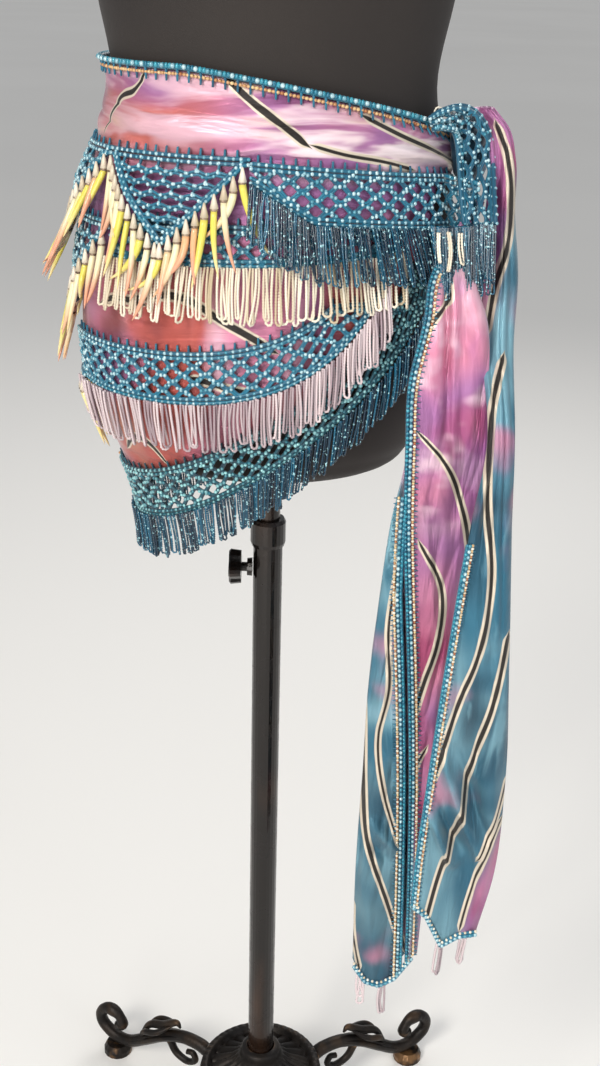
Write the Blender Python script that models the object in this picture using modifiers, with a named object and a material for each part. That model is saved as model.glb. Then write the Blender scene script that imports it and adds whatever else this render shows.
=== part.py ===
"""A satin hip belt with beaded crochet tiers, tied at one hip of a dress form on a cast tripod.

Metres, +Z up. Heights in the tables are measured from the form's waist. A bearing is an angle
round the form, in degrees: 0 faces front (-Y), 90 is the side of the knot (+X), and the belt's
centre line lies at -90. A length called out is measured outwards from the cloth's inner face.
"""

import math

import bmesh
import bpy
import numpy as np
from mathutils import Matrix, Vector

# ---------------------------------------------------------------- driving sizes
WAIST = 1.020
SEAM = 0.0004
EASE = 0.0024
CLOTH = 0.0020
NET = 0.0030
BEADS = 0.0022
NET_GAP = 0.0013
CENTRE = -90.0
KNOT_BEARING = 90.0
TIE_ENDS = 169.0

# height, half width, depth in front, depth behind
FORM_SECTIONS = (
    (-0.300, 0.070, 0.050, 0.058),
    (-0.292, 0.096, 0.070, 0.081),
    (-0.275, 0.115, 0.084, 0.096),
    (-0.250, 0.130, 0.094, 0.108),
    (-0.220, 0.141, 0.101, 0.116),
    (-0.160, 0.145, 0.102, 0.116),
    (-0.100, 0.140, 0.098, 0.106),
    (-0.050, 0.131, 0.092, 0.093),
    (0.000, 0.121, 0.088, 0.084),
    (0.060, 0.130, 0.091, 0.088),
    (0.120, 0.141, 0.099, 0.095),
    (0.200, 0.151, 0.121, 0.102),
    (0.260, 0.155, 0.122, 0.106),
    (0.330, 0.163, 0.101, 0.107),
    (0.375, 0.168, 0.083, 0.098),
    (0.405, 0.158, 0.071, 0.086),
    (0.428, 0.122, 0.062, 0.072),
    (0.452, 0.076, 0.054, 0.058),
    (0.480, 0.056, 0.051, 0.053),
    (0.540, 0.053, 0.050, 0.051),
)
# Below the hips the cloth leaves the form and hangs inwards to its hem.
HANGING_SECTIONS = (
    (-0.420, 0.098, 0.071, 0.083),
    (-0.340, 0.104, 0.076, 0.088),
    (-0.300, 0.115, 0.086, 0.097),
    (-0.260, 0.131, 0.096, 0.109),
)
HIP_END = -0.225

# ---------------------------------------------------------------- lines of the belt
HEM_LOW, HEM_RISE, HEM_POWER, HEM_END = -0.299, 0.128, 2.6, -0.066
TOP_HIGH, TOP_DROP, TOP_FROM = 0.014, 0.040, 60.0
NET_1_TOP, NET_1_SLOPE, NET_1_HEIGHT = -0.042, 0.018, 0.037
NET_2_TOP, NET_2_LOW, NET_2_RISE = -0.088, -0.117, 0.012
NET_3_LOW, NET_3_RISE, NET_3_HEIGHT = -0.2215, 0.066, 0.038
NET_4_HEIGHT, NET_4_LAP = 0.040, 0.004
CUT_CELLS, NET_STRAND = 16, 0.0044

# Each tier runs from the bearing at its inner end to the one at the knot, and again on the far side.
# name, inner, outer, strands, drop, root_out, tip_out
TIERS = (
    ("1", -5.4, 71.0, 14, 0.038, 0.0050, 0.0154),
    ("2", -52.0, 40.0, 15, 0.038, 0.0050, 0.0080),
    ("3", -80.0, 27.0, 17, 0.036, 0.0050, 0.0080),
    ("4", -89.5, 50.0, 20, 0.035, 0.0050, 0.0056),
)

# Netted points that hang over the tiers, each edged with horn-shaped charms.
# name, left, right, top, low, out_low, cells, charms, flare
POINTS = (
    ("front", -56.4, -6.2, -0.042, -0.103, 0.0075, 6, 15, 0.008),
    ("centre", -123.0, -57.0, -0.042, -0.103, 0.0075, 6, 14, 0.020),
    ("back", -173.8, -123.6, -0.042, -0.103, 0.0075, 6, 15, 0.008),
    ("lower", -118.0, -62.0, -0.094, -0.162, 0.0030, 6, 12, 0.010),
)
CHARM_DROP, CHARM_THICK, CHARM_SWAY = 0.045, 0.0028, 0.006

# ---------------------------------------------------------------- knot and tails
KNOT_CENTRE = Vector((0.1434, -0.009, -0.042))
KNOT_HALF = Vector((0.0190, 0.038, 0.031))
KNOT_CLEAR = 0.0075
# x, y, height, half_width
KNOT_DRAPE = (
    (0.1170, -0.054, -0.0220, 0.0050),
    (0.1300, -0.050, -0.0180, 0.0075),
    (0.1415, -0.043, -0.0200, 0.0090),
    (0.1485, -0.041, -0.0320, 0.0092),
    (0.1502, -0.043, -0.0450, 0.0090),
    (0.1515, -0.060, -0.0670, 0.0092),
    (0.1525, -0.074, -0.0845, 0.0090),
)
DRAPE_BULGE = 0.003
KNOT_FRINGE_ENDS, KNOT_FRINGE_DROPS = (0.112, 0.1605), (0.036, 0.052)
# height, left, slit, right, front, back
TAIL_FRONT = (
    (-0.076, 0.1475, 0.1460, 0.157, -0.046, -0.038),
    (-0.100, 0.1345, 0.1330, 0.148, -0.062, -0.054),
    (-0.121, 0.1205, 0.1185, 0.148, -0.0885, -0.0815),
    (-0.150, 0.1160, 0.1140, 0.158, -0.103, -0.092),
    (-0.195, 0.1065, 0.1045, 0.1615, -0.115, -0.102),
    (-0.240, 0.1060, 0.1045, 0.1635, -0.120, -0.106),
    (-0.305, 0.0960, 0.1065, 0.158, -0.122, -0.108),
    (-0.380, 0.0888, 0.1120, 0.153, -0.122, -0.108),
    (-0.445, 0.0845, 0.1170, 0.148, -0.122, -0.108),
    (-0.525, 0.0831, 0.1220, 0.144, -0.122, -0.109),
    (-0.610, 0.0810, 0.1255, 0.140, -0.122, -0.110),
    (-0.706, 0.0822, 0.1285, 0.137, -0.120, -0.110),
)
TAIL_SIDE = (
    (-0.014, 0.1490, 0.1490, 0.1605, -0.031, -0.024),
    (-0.022, 0.1580, 0.1580, 0.1675, -0.036, -0.029),
    (-0.043, 0.1645, 0.1645, 0.1740, -0.044, -0.035),
    (-0.083, 0.1640, 0.1640, 0.1770, -0.056, -0.044),
    (-0.125, 0.1620, 0.1620, 0.1830, -0.074, -0.056),
    (-0.170, 0.1625, 0.1625, 0.1800, -0.098, -0.082),
    (-0.225, 0.1650, 0.1650, 0.1800, -0.138, -0.125),
    (-0.290, 0.1520, 0.1520, 0.1825, -0.147, -0.131),
    (-0.400, 0.1415, 0.1415, 0.1885, -0.152, -0.134),
    (-0.510, 0.1335, 0.1335, 0.1940, -0.152, -0.134),
    (-0.600, 0.1280, 0.1280, 0.1910, -0.152, -0.137),
    (-0.650, 0.1265, 0.1265, 0.1815, -0.152, -0.139),
)
# x, height
TAIL_FRONT_HEM = ((0.082, -0.716), (0.093, -0.734), (0.105, -0.738), (0.118, -0.730), (0.133, -0.706))
TAIL_SIDE_HEM = ((0.127, -0.628), (0.138, -0.637), (0.152, -0.667), (0.166, -0.657), (0.181, -0.654))
TAIL_CLOTH = 0.0016
SLIT_GAP, STRIP_SHOWS = 0.006, 0.006
EDGING, BORDER, BORDER_IN = 0.0034, 0.005, 0.003
TAIL_ROWS, FACE_STEPS = 14, 3
TAIL_FRONT_LOOPS, TAIL_SIDE_LOOPS = (0.024, 0.010, 0.040), (0.010, 0.036, 0.028)

# ---------------------------------------------------------------- stand
TUBE_OUTER, TUBE_BORE, POST_RADIUS = 0.0125, 0.0104, 0.0100
TUBE_TOP, COLLAR_TOP, POST_LOW = 0.645, 0.670, 0.300
COLLAR_RADIUS = 0.0150
HUB_TOP, HUB_RADIUS = 0.078, 0.060
CLAMP_HEIGHT, KNOB_SIDES = 0.624, 32
LEG_REACH, LEG_BAR = 0.182, 0.0065
FOOT_RADIUS, FOOT_HEIGHT = 0.015, 0.012
LEG_BEARINGS = (("front", 0.0), ("left", -120.0), ("right", 120.0))
# reach, height
LEG_LINE = (
    (0.0645, 0.0570),
    (0.0750, 0.0605),
    (0.095, 0.060),
    (0.120, 0.050),
    (0.145, 0.033),
    (0.165, 0.0205),
    (0.183, 0.0190),
    (0.200, 0.029),
    (0.203, 0.042),
    (0.194, 0.052),
    (0.181, 0.050),
    (0.175, 0.040),
    (0.181, 0.034),
)


# ---------------------------------------------------------------- shape of the form and the cloth
def along(table, column, at):
    """The table's column at a height, on a smooth curve through its rows."""
    x = [row[0] for row in table]
    y = [row[column] for row in table]
    at = min(max(at, x[0]), x[-1])
    i = min(max(int(np.searchsorted(x, at)) - 1, 0), len(x) - 2)
    slopes = np.gradient(y, x)
    step = x[i + 1] - x[i]
    t = (at - x[i]) / step
    start = (1 + 2 * t) * (1 - t) ** 2 * y[i] + t * (1 - t) ** 2 * step * slopes[i]
    end = t * t * (3 - 2 * t) * y[i + 1] + t * t * (t - 1) * step * slopes[i + 1]
    return float(start + end)


CLOTH_SECTIONS = HANGING_SECTIONS + tuple(
    (height, *(size + EASE for size in sizes))
    for height, *sizes in FORM_SECTIONS
    if height > HIP_END
)


def ring_point(table, bearing, height, out):
    """The point of a table's section at a bearing, moved outwards."""
    angle = math.radians(bearing)
    depth = 2 if math.cos(angle) > 0 else 3
    return Vector(
        (
            (along(table, 1, height) + out) * math.sin(angle),
            -(along(table, depth, height) + out) * math.cos(angle),
            WAIST + height,
        )
    )


def away(bearing):
    """Degrees from the belt's centre line, the same on both sides of it."""
    return abs((bearing - CENTRE + 180) % 360 - 180)


def fold(bearing, height):
    """How far the band's pulled folds stand out. They run round it and close up at the knot."""
    low, high = band_low(bearing), top_edge(bearing)
    if not low < height < high:
        return 0.0
    rise = (height - low) / (high - low)
    pull = min(away(bearing) / TIE_ENDS, 1.0)
    slope = rise * (1.5 + pull) + math.radians(bearing) * 0.55
    waves = 0.5 - 0.5 * math.cos(slope * 2 * math.pi)
    return (0.0010 + 0.0045 * pull**2) * waves * math.sin(math.pi * rise)


def on_cloth(bearing, height, out):
    return ring_point(CLOTH_SECTIONS, bearing, height, out + fold(bearing, height))


def hem(bearing):
    rise = HEM_RISE * (away(bearing) / 120) ** HEM_POWER
    return min(HEM_LOW + rise, HEM_END)


def band_low(bearing):
    """The lower side of the plain band: the first net's top."""
    return NET_1_TOP - NET_1_SLOPE * (max(0.0, away(bearing) - 60) / 105) ** 1.3


def top_edge(bearing):
    turn = max(0.0, away(bearing) - TOP_FROM) / 97
    return TOP_HIGH - TOP_DROP * turn**1.3


def tier_lines(tier, bearing):
    """The heights of a tier's top and bottom at a bearing."""
    turn = away(bearing)
    if tier == "1":
        top = band_low(bearing)
        slant = min(1.0, 0.35 + 0.65 * max(0.0, turn - 85) / 17)
        return top, top - NET_1_HEIGHT * slant
    if tier == "2":
        top = min(NET_2_TOP, band_low(bearing) - NET_1_HEIGHT - 0.0015)
        return top, NET_2_LOW + NET_2_RISE * (turn / 130) ** 4
    if tier == "3":
        low = NET_3_LOW + NET_3_RISE * (turn / 117) ** 6
        return min(low + NET_3_HEIGHT, -0.142), low
    return hem(bearing) + NET_4_LAP, hem(bearing) + NET_4_LAP - NET_4_HEIGHT


def arc_length(start, end, height):
    """Bearings from start to end and the cloth's length up to each, at one height."""
    bearings = np.linspace(start, end, 181)
    points = np.array([ring_point(CLOTH_SECTIONS, b, height, 0.0) for b in bearings])
    steps = np.linalg.norm(np.diff(points, axis=0), axis=1)
    return bearings, np.concatenate([[0.0], np.cumsum(steps)])


# ---------------------------------------------------------------- making objects
def clear_scene():
    for thing in list(bpy.data.objects):
        bpy.data.objects.remove(thing, do_unlink=True)


def material(name, colour, roughness, metallic=0.0):
    made = bpy.data.materials.new(name)
    made.use_nodes = True
    shader = made.node_tree.nodes["Principled BSDF"]
    shader.inputs["Base Color"].default_value = (*colour, 1.0)
    shader.inputs["Roughness"].default_value = roughness
    shader.inputs["Metallic"].default_value = metallic
    return made


def object_from(bm, name, finish, smooth=True):
    """A named object in the part's collection, from an edited mesh."""
    mesh = bpy.data.meshes.new(name)
    bm.to_mesh(mesh)
    bm.free()
    if smooth:
        mesh.shade_smooth()
        mesh.set_sharp_from_angle(angle=math.radians(40))
    thing = bpy.data.objects.new(name, mesh)
    thing.data.materials.append(MATERIALS[finish])
    PART.objects.link(thing)
    return thing


def thicken(thing, thickness, offset=1.0):
    wall = thing.modifiers.new("wall", "SOLIDIFY")
    wall.thickness = thickness
    wall.offset = offset
    wall.use_rim = True


def sheet(name, finish, columns, rows, place, thickness, offset=1.0):
    """A wall over a grid. place takes two numbers from 0 to 1 and gives a point."""
    bm = bmesh.new()
    bmesh.ops.create_grid(bm, x_segments=columns, y_segments=rows, size=0.5)
    for vertex in bm.verts:
        vertex.co = place(vertex.co.x + 0.5, vertex.co.y + 0.5)
    thing = object_from(bm, name, finish)
    thicken(thing, thickness, offset)
    return thing


def turned(name, finish, profile, steps, centre=(0, 0, 0), axis="Z"):
    """A profile of (radius, height) pairs turned about an axis. It runs down its outer side."""
    bm = bmesh.new()
    corners = [bm.verts.new((radius, 0, height)) for radius, height in profile]
    closed = profile[0][0] > 0
    for first, second in zip(corners, corners[1:] + corners[:1] if closed else corners[1:]):
        bm.edges.new((first, second))
    thing = object_from(bm, name, finish, smooth=False)
    thing.location = centre
    if axis == "X":
        thing.rotation_euler.y = math.radians(-90)
    screw = thing.modifiers.new("turn", "SCREW")
    screw.steps = steps
    screw.render_steps = steps
    screw.use_merge_vertices = True
    screw.merge_threshold = 0.0001
    return thing


def bar(name, finish, points, radius, resolution=1):
    """A round bar along points, as a bevelled curve."""
    curve = bpy.data.curves.new(name, "CURVE")
    curve.dimensions = "3D"
    curve.bevel_depth = radius
    curve.bevel_resolution = resolution
    curve.use_fill_caps = True
    spline = curve.splines.new("POLY")
    spline.points.add(len(points) - 1)
    for target, point in zip(spline.points, points):
        target.co = (*point, 1.0)
    thing = bpy.data.objects.new(name, curve)
    thing.data.materials.append(MATERIALS[finish])
    PART.objects.link(thing)
    return thing


# ---------------------------------------------------------------- nets
def cut_net(bm, faces, strand):
    """Leaves each face as a frame of strands round its own gap."""
    bmesh.ops.inset_individual(bm, faces=faces, thickness=strand / 2, use_even_offset=True)
    bmesh.ops.delete(bm, geom=faces, context="FACES_ONLY")


def net_strip(name, tier, start, end, cells, strand):
    """A tier's net: solid, or cut into staggered rows of lozenges where strand is given."""
    height = np.mean(np.subtract(*zip(*[tier_lines(tier, b) for b in (start, end)])))
    bearings, lengths = arc_length(start, end, tier_lines(tier, (start + end) / 2)[0])
    bm = bmesh.new()
    rows = 2 if strand else 1
    bmesh.ops.create_grid(bm, x_segments=cells, y_segments=rows, size=0.5)
    for vertex in bm.verts:
        vertex.co.x *= lengths[-1]
        vertex.co.y *= height
    if strand:
        inner = [edge for edge in bm.edges if not edge.is_boundary]
        bmesh.ops.poke(bm, faces=list(bm.faces))
        bmesh.ops.dissolve_edges(bm, edges=inner, use_verts=False)
        cut_net(bm, [face for face in bm.faces if len(face.verts) == 4], strand)
    for vertex in bm.verts:
        bearing = float(np.interp(vertex.co.x + lengths[-1] / 2, lengths, bearings))
        top, low = tier_lines(tier, bearing)
        level = low + (vertex.co.y / height + 0.5) * (top - low)
        vertex.co = on_cloth(bearing, level, CLOTH + NET_GAP)
    thing = object_from(bm, name, "net")
    thicken(thing, NET)
    return thing


def point_place(row, across, down):
    """A netted point's place: across from 0 to 1 along its top, down from 0 to 1 to its tip."""
    left, right, top, low, out_low = row[1:6]
    bearings, lengths = arc_length(left, right, (top + low) / 2)
    bearing = float(np.interp(across * lengths[-1], lengths, bearings))
    out = CLOTH + NET_GAP + out_low * min(1.0, down / 0.45)
    return on_cloth(bearing, top + (low - top) * down, out)


def net_point(row, strand):
    """A three-cornered net: a lattice on its corner, cut off level at the top."""
    name, cells = row[0], row[6]
    bm = bmesh.new()
    bmesh.ops.create_grid(bm, x_segments=cells, y_segments=cells, size=math.sqrt(0.5) / 2)
    bmesh.ops.rotate(bm, verts=bm.verts, cent=(0, 0, 0), matrix=Matrix.Rotation(math.pi / 4, 3, "Z"))
    geometry = list(bm.verts) + list(bm.edges) + list(bm.faces)
    bmesh.ops.bisect_plane(
        bm, geom=geometry, dist=1e-4, plane_co=(0, 0, 0), plane_no=(0, 1, 0), clear_outer=True
    )
    size = 0.115
    for vertex in bm.verts:
        vertex.co *= size
    cut_net(bm, list(bm.faces), strand)
    for vertex in bm.verts:
        vertex.co = point_place(row, vertex.co.x / size + 0.5, -2 * vertex.co.y / size)
    thing = object_from(bm, f"point_{name}", "net")
    thicken(thing, NET)
    return thing


# ---------------------------------------------------------------- fringes and charms
def hanging_strands(name, finish, count, root, tip, thickness, taper):
    """Strands hung from a narrow strip. root and tip give a point from a number from 0 to 1."""
    bm = bmesh.new()
    bmesh.ops.create_grid(bm, x_segments=count, y_segments=1, size=0.5)
    lower = [edge for edge in bm.edges if all(v.co.y < 0 for v in edge.verts)]
    hung = []
    for edge in lower:
        middle = sum(v.co.x for v in edge.verts) / 2
        made = bmesh.ops.extrude_edge_only(bm, edges=[edge])["geom"]
        ends = [item for item in made if isinstance(item, bmesh.types.BMVert)]
        for end in ends:
            hung.append((end, middle, (end.co.x - middle) * taper))
    placed = {end: tip(middle + 0.5, side) for end, middle, side in hung}
    for vertex in bm.verts:
        if vertex in placed:
            vertex.co = placed[vertex]
        else:
            vertex.co = root(vertex.co.x + 0.5, vertex.co.y + 0.5)
    thing = object_from(bm, name, finish, smooth=False)
    thicken(thing, thickness)
    return thing


def tier_fringe(name, finish, row, start, end):
    """Bead loops along the lower edge of a tier's net, each one strand here."""
    tier, strands, drop, root_out, tip_out = row[0], row[3], row[4], row[5], row[6]
    strip = 0.005

    def root(across, up):
        bearing = start + (end - start) * across
        level = tier_lines(tier, bearing)[1] + strip * up
        return on_cloth(bearing, level, CLOTH + root_out)

    def tip(across, side):
        bearing = start + (end - start) * (across + side)
        level = tier_lines(tier, start + (end - start) * across)[1] - drop
        return on_cloth(bearing, level, CLOTH + tip_out)

    return hanging_strands(name, finish, strands, root, tip, BEADS, 0.62)


def point_charms(row):
    """Horn-shaped charms along both lower edges of a netted point."""
    name, charms, flare = row[0], row[7], row[8]
    strip = 0.07
    clear = NET + 2 * SEAM

    def edge_of(across, lift):
        down = (1 - abs(2 * across - 1)) * (1 - strip) + lift * strip
        return point_place(row, across, down)

    def outwards(point, out):
        direction = Vector((point.x, point.y, 0)).normalized()
        return point + direction * out

    def root(across, up):
        return outwards(edge_of(0.02 + 0.96 * across, 1 - up), clear)

    def tip(across, side):
        point = edge_of(0.02 + 0.96 * across, 0.5)
        sideways = Vector((-point.y, point.x, 0)).normalized()
        sway = CHARM_SWAY * math.sin(9.0 * across + len(name))
        swung = point + sideways * (sway + side * 0.045)
        return outwards(swung, clear + flare) - Vector((0, 0, CHARM_DROP))

    return hanging_strands(f"charms_{name}", "charm", charms, root, tip, CHARM_THICK, 0.30)


# ---------------------------------------------------------------- the belt
def build_belt():
    first, last = CENTRE - TIE_ENDS, CENTRE + TIE_ENDS

    def wrap_place(across, up):
        bearing = first + (last - first) * across
        low, middle, high = hem(bearing), band_low(bearing), top_edge(bearing)
        level = float(np.interp(up, (0.0, 0.46, 1.0), (low, middle, high)))
        return on_cloth(bearing, level, 0.0)

    def edging_place(across, up):
        bearing = first + (last - first) * across
        return on_cloth(bearing, top_edge(bearing) - 0.002 + 0.007 * up, CLOTH + NET_GAP)

    sheet("wrap_cloth", "satin", 46, 11, wrap_place, CLOTH)
    sheet("top_edging", "net", 46, 1, edging_place, EDGING)

    finishes = {"1": "dark_beads", "2": "cream_beads", "3": "lilac_beads", "4": "dark_beads"}
    for row in TIERS:
        tier, inner, outer = row[:3]
        far_inner, far_outer = 2 * CENTRE - inner, 2 * CENTRE - outer
        strand = NET_STRAND if tier == "4" else None
        cells = CUT_CELLS if tier == "4" else 14
        for side, start, end in (("front", inner, outer), ("back", far_outer, far_inner)):
            net_strip(f"net_{tier}_{side}", tier, start, end, cells, strand)
            tier_fringe(f"fringe_{tier}_{side}", finishes[tier], row, start, end)
    for row in POINTS:
        net_point(row, NET_STRAND)
        point_charms(row)


def knot_front(x, height):
    """The knot's front at a place, or its middle where the place lies beyond its outline."""
    inside = 1 - ((x - KNOT_CENTRE.x) / KNOT_HALF.x) ** 2 - ((height - KNOT_CENTRE.z) / KNOT_HALF.z) ** 2
    return KNOT_CENTRE.y - KNOT_HALF.y * math.sqrt(max(0.0, inside))


def build_knot():
    """The tied knot: a rounded solid with the cloth's turns as soft ridges, flat where it meets the hip."""
    bm = bmesh.new()
    bmesh.ops.create_uvsphere(bm, u_segments=18, v_segments=11, radius=1.0)
    for vertex in bm.verts:
        turn = math.atan2(vertex.co.z, vertex.co.y)
        behind = min(max(vertex.co.y + 0.3, 0.0), 1.0)
        ridge = 1 + 0.08 * behind * math.sin(3 * turn + 2.2 * vertex.co.x)
        place = Vector(vertex.co * KNOT_HALF * ridge) + KNOT_CENTRE
        shell = ring_point(CLOTH_SECTIONS, 90.0, place.z, KNOT_CLEAR).x
        depth = -ring_point(CLOTH_SECTIONS, 0.0 if place.y < 0 else 180.0, place.z, KNOT_CLEAR).y
        nearest = shell * math.sqrt(max(0.0, 1 - (place.y / depth) ** 2))
        vertex.co = Vector((max(place.x, nearest), place.y, place.z + WAIST))
    object_from(bm, "knot", "satin")


def drape_place(across, down):
    """The caught net's end: over the knot's front from the belt's top edge, then straight down."""
    at = down * (len(KNOT_DRAPE) - 1)
    i = min(int(at), len(KNOT_DRAPE) - 2)
    x, y, height, half = (a + (b - a) * (at - i) for a, b in zip(KNOT_DRAPE[i], KNOT_DRAPE[i + 1]))
    before, after = KNOT_DRAPE[i][0:3:2], KNOT_DRAPE[i + 1][0:3:2]
    run = Vector((after[0] - before[0], 0, after[1] - before[1])).normalized()
    side = Vector((-run.z, 0, run.x)) * (2 * across - 1) * half
    bulge = DRAPE_BULGE * (1 - (2 * across - 1) ** 2)
    place = Vector((x, y - bulge, height)) + side
    place.y = min(place.y, knot_front(place.x, place.z) - 2 * SEAM)
    return place + Vector((0, 0, WAIST))


def build_knot_net():
    """The net's end is caught in the knot and hangs over its front, with its fringe below."""
    low = KNOT_DRAPE[-1]

    start, end = KNOT_FRINGE_ENDS

    def root(across, up):
        x = start + (end - start) * across
        return Vector((x, low[1] - DRAPE_BULGE - NET, WAIST + low[2] + 0.004 * up))

    def tip(across, side):
        x = start + (end - start) * (across + side) + 0.006 * (1 - across)
        drop = float(np.interp(across, (0.4, 0.8), KNOT_FRINGE_DROPS))
        return Vector((x, low[1] - 0.024, WAIST + low[2] - drop))

    sheet("knot_net", "net", 4, 12, lambda across, up: drape_place(across, 1 - up), NET)
    hanging_strands("knot_fringe", "dark_beads", 14, root, tip, BEADS, 0.62)


# ---------------------------------------------------------------- tails
def tail_section(row):
    """Plan points of a tail's cloth: from its front lip round the back to the lip of its left strip.

    Where the strip is too narrow to show, it lies folded away between the front and the back."""
    left, slit, right, front, back = row
    turn, middle, width = (back - front) / 2, (front + back) / 2, right - left
    shown = min(max((slit - SLIT_GAP - left - turn) / STRIP_SHOWS, 0.0), 1.0)
    lips = ((left + 0.25 * width, middle), (left + 0.5 * width, middle))
    strip = ((left + turn, front), (slit - SLIT_GAP, front))
    points = spaced((slit, front), (right - turn, front))
    points += [(right, middle), (right - turn, back)]
    points += [((left + right) / 2, back), (left + turn, back), (left, middle)]
    folded, flat = spaced(*lips), spaced(*strip)
    points += [(a + (c - a) * shown, b + (d - b) * shown) for (a, b), (c, d) in zip(folded, flat)]
    return points


def spaced(start, end):
    """A tail's face from one place to another, in equal steps."""
    parts = [step / FACE_STEPS for step in range(FACE_STEPS + 1)]
    return [(start[0] + (end[0] - start[0]) * t, start[1] + (end[1] - start[1]) * t) for t in parts]


def hung(hem_line, x, height, top, low):
    """A height on a tail, let down or taken up towards its shaped hem."""
    along_hem = float(np.interp(x, *zip(*hem_line)))
    return WAIST + height + (along_hem - low) * ((top - height) / (top - low)) ** 6


def build_tail(name, table, hem_line, rows, strip_shows):
    """A tail folded lengthways. Where strip_shows is false, its left edge is free."""
    top, low = table[0][0], table[-1][0]
    heights = [top + (low - top) * i / rows for i in range(rows + 1)]
    sections = []
    for height in heights:
        row = [along(table[::-1], column, height) for column in range(1, 6)]
        points = tail_section(row)[: None if strip_shows else FACE_STEPS + 4]
        sections.append([Vector((x, y, hung(hem_line, x, height, top, low))) for x, y in points])
    columns = len(sections[0]) - 1

    def place(across, up):
        return sections[rows - round(up * rows)][round(across * columns)]

    return sheet(name, "satin", columns, rows, place, TAIL_CLOTH, offset=0.0)


def tail_border(name, table, hem_line, shift, first, rows):
    """The beaded border beside a tail's slit, from its row numbered first."""
    top, low = table[0][0], table[-1][0]

    def place(across, up):
        height = low + BORDER + (top - low - BORDER) * up * (1 - first / rows)
        x = along(table[::-1], 2, height) + shift + BORDER * (across - 0.5)
        y = along(table[::-1], 4, height) - TAIL_CLOTH / 2 - 2 * SEAM
        return Vector((x, y, hung(hem_line, x, height, top, low)))

    return sheet(name, "net", 1, rows - first, place, EDGING)


def tail_hem(name, table, hem_line, ends, drops):
    """The beaded strip under a tail's end, with the loops that hang from it."""
    (left, _), (right, _) = ends
    front = table[-1][4] + EDGING / 2
    xs = [x for x, _ in spaced(*ends)]
    levels = [WAIST + float(np.interp(x, *zip(*hem_line))) - 2 * SEAM for x in xs]

    def root(across, up):
        x = left + (right - left) * across
        return Vector((x, front, float(np.interp(x, xs, levels)) - 0.004 * (1 - up)))

    def tip(across, side):
        x = left + (right - left) * across
        drop = drops[min(int(across * len(drops)), len(drops) - 1)]
        return Vector((x + (right - left) * side, front, float(np.interp(x, xs, levels)) - drop))

    return hanging_strands(name, "lilac_beads", len(drops), root, tip, EDGING, 0.35)


def build_tails():
    build_tail("tail_front", TAIL_FRONT, TAIL_FRONT_HEM, TAIL_ROWS, True)
    build_tail("tail_side", TAIL_SIDE, TAIL_SIDE_HEM, TAIL_ROWS, False)
    tail_border("tail_front_border", TAIL_FRONT, TAIL_FRONT_HEM, BORDER_IN, 2, TAIL_ROWS)
    tail_border("tail_front_border_left", TAIL_FRONT, TAIL_FRONT_HEM, -SLIT_GAP - BORDER_IN, 7, TAIL_ROWS)
    tail_border("tail_side_border", TAIL_SIDE, TAIL_SIDE_HEM, BORDER_IN, 6, TAIL_ROWS)
    front_section, side_section = (tail_section(table[-1][1:]) for table in (TAIL_FRONT, TAIL_SIDE))
    strip = front_section[-FACE_STEPS - 1 :: FACE_STEPS]
    face = side_section[: FACE_STEPS + 1 : FACE_STEPS]
    tail_hem("tail_front_hem", TAIL_FRONT, TAIL_FRONT_HEM, strip, TAIL_FRONT_LOOPS)
    tail_hem("tail_side_hem", TAIL_SIDE, TAIL_SIDE_HEM, face, TAIL_SIDE_LOOPS)


# ---------------------------------------------------------------- dress form and stand
def build_form():
    """The padded form: its sections joined in one skin, closed top and bottom."""
    heights = [row[0] for row in FORM_SECTIONS]
    bm = bmesh.new()
    rings = len(heights) - 1
    bmesh.ops.create_grid(bm, x_segments=28, y_segments=rings, size=0.5)
    for vertex in bm.verts:
        height = heights[round((vertex.co.y + 0.5) * rings)]
        vertex.co = ring_point(FORM_SECTIONS, vertex.co.x * 360, height, 0.0)
    bmesh.ops.remove_doubles(bm, verts=bm.verts, dist=1e-5)
    bmesh.ops.holes_fill(bm, edges=[edge for edge in bm.edges if edge.is_boundary], sides=0)
    bmesh.ops.recalc_face_normals(bm, faces=bm.faces)
    object_from(bm, "form_body", "jersey")

    neck = WAIST + FORM_SECTIONS[-1][0] + SEAM
    cap = (
        (0.0, 0.040),
        (0.010, 0.036),
        (0.010, 0.026),
        (0.020, 0.018),
        (0.047, 0.010),
        (0.050, 0.0),
        (0.0, 0.0),
    )
    turned("neck_cap", "painted_iron", [(r, neck + h) for r, h in cap], 24)
    under = WAIST + FORM_SECTIONS[0][0] - SEAM
    socket = (
        (TUBE_BORE, 0.0),
        (0.038, 0.0),
        (0.036, -0.005),
        (0.016, -0.009),
        (0.0145, -0.030),
        (TUBE_BORE, -0.030),
    )
    turned("form_socket", "painted_iron", [(r, under + h) for r, h in socket], 24)


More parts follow.
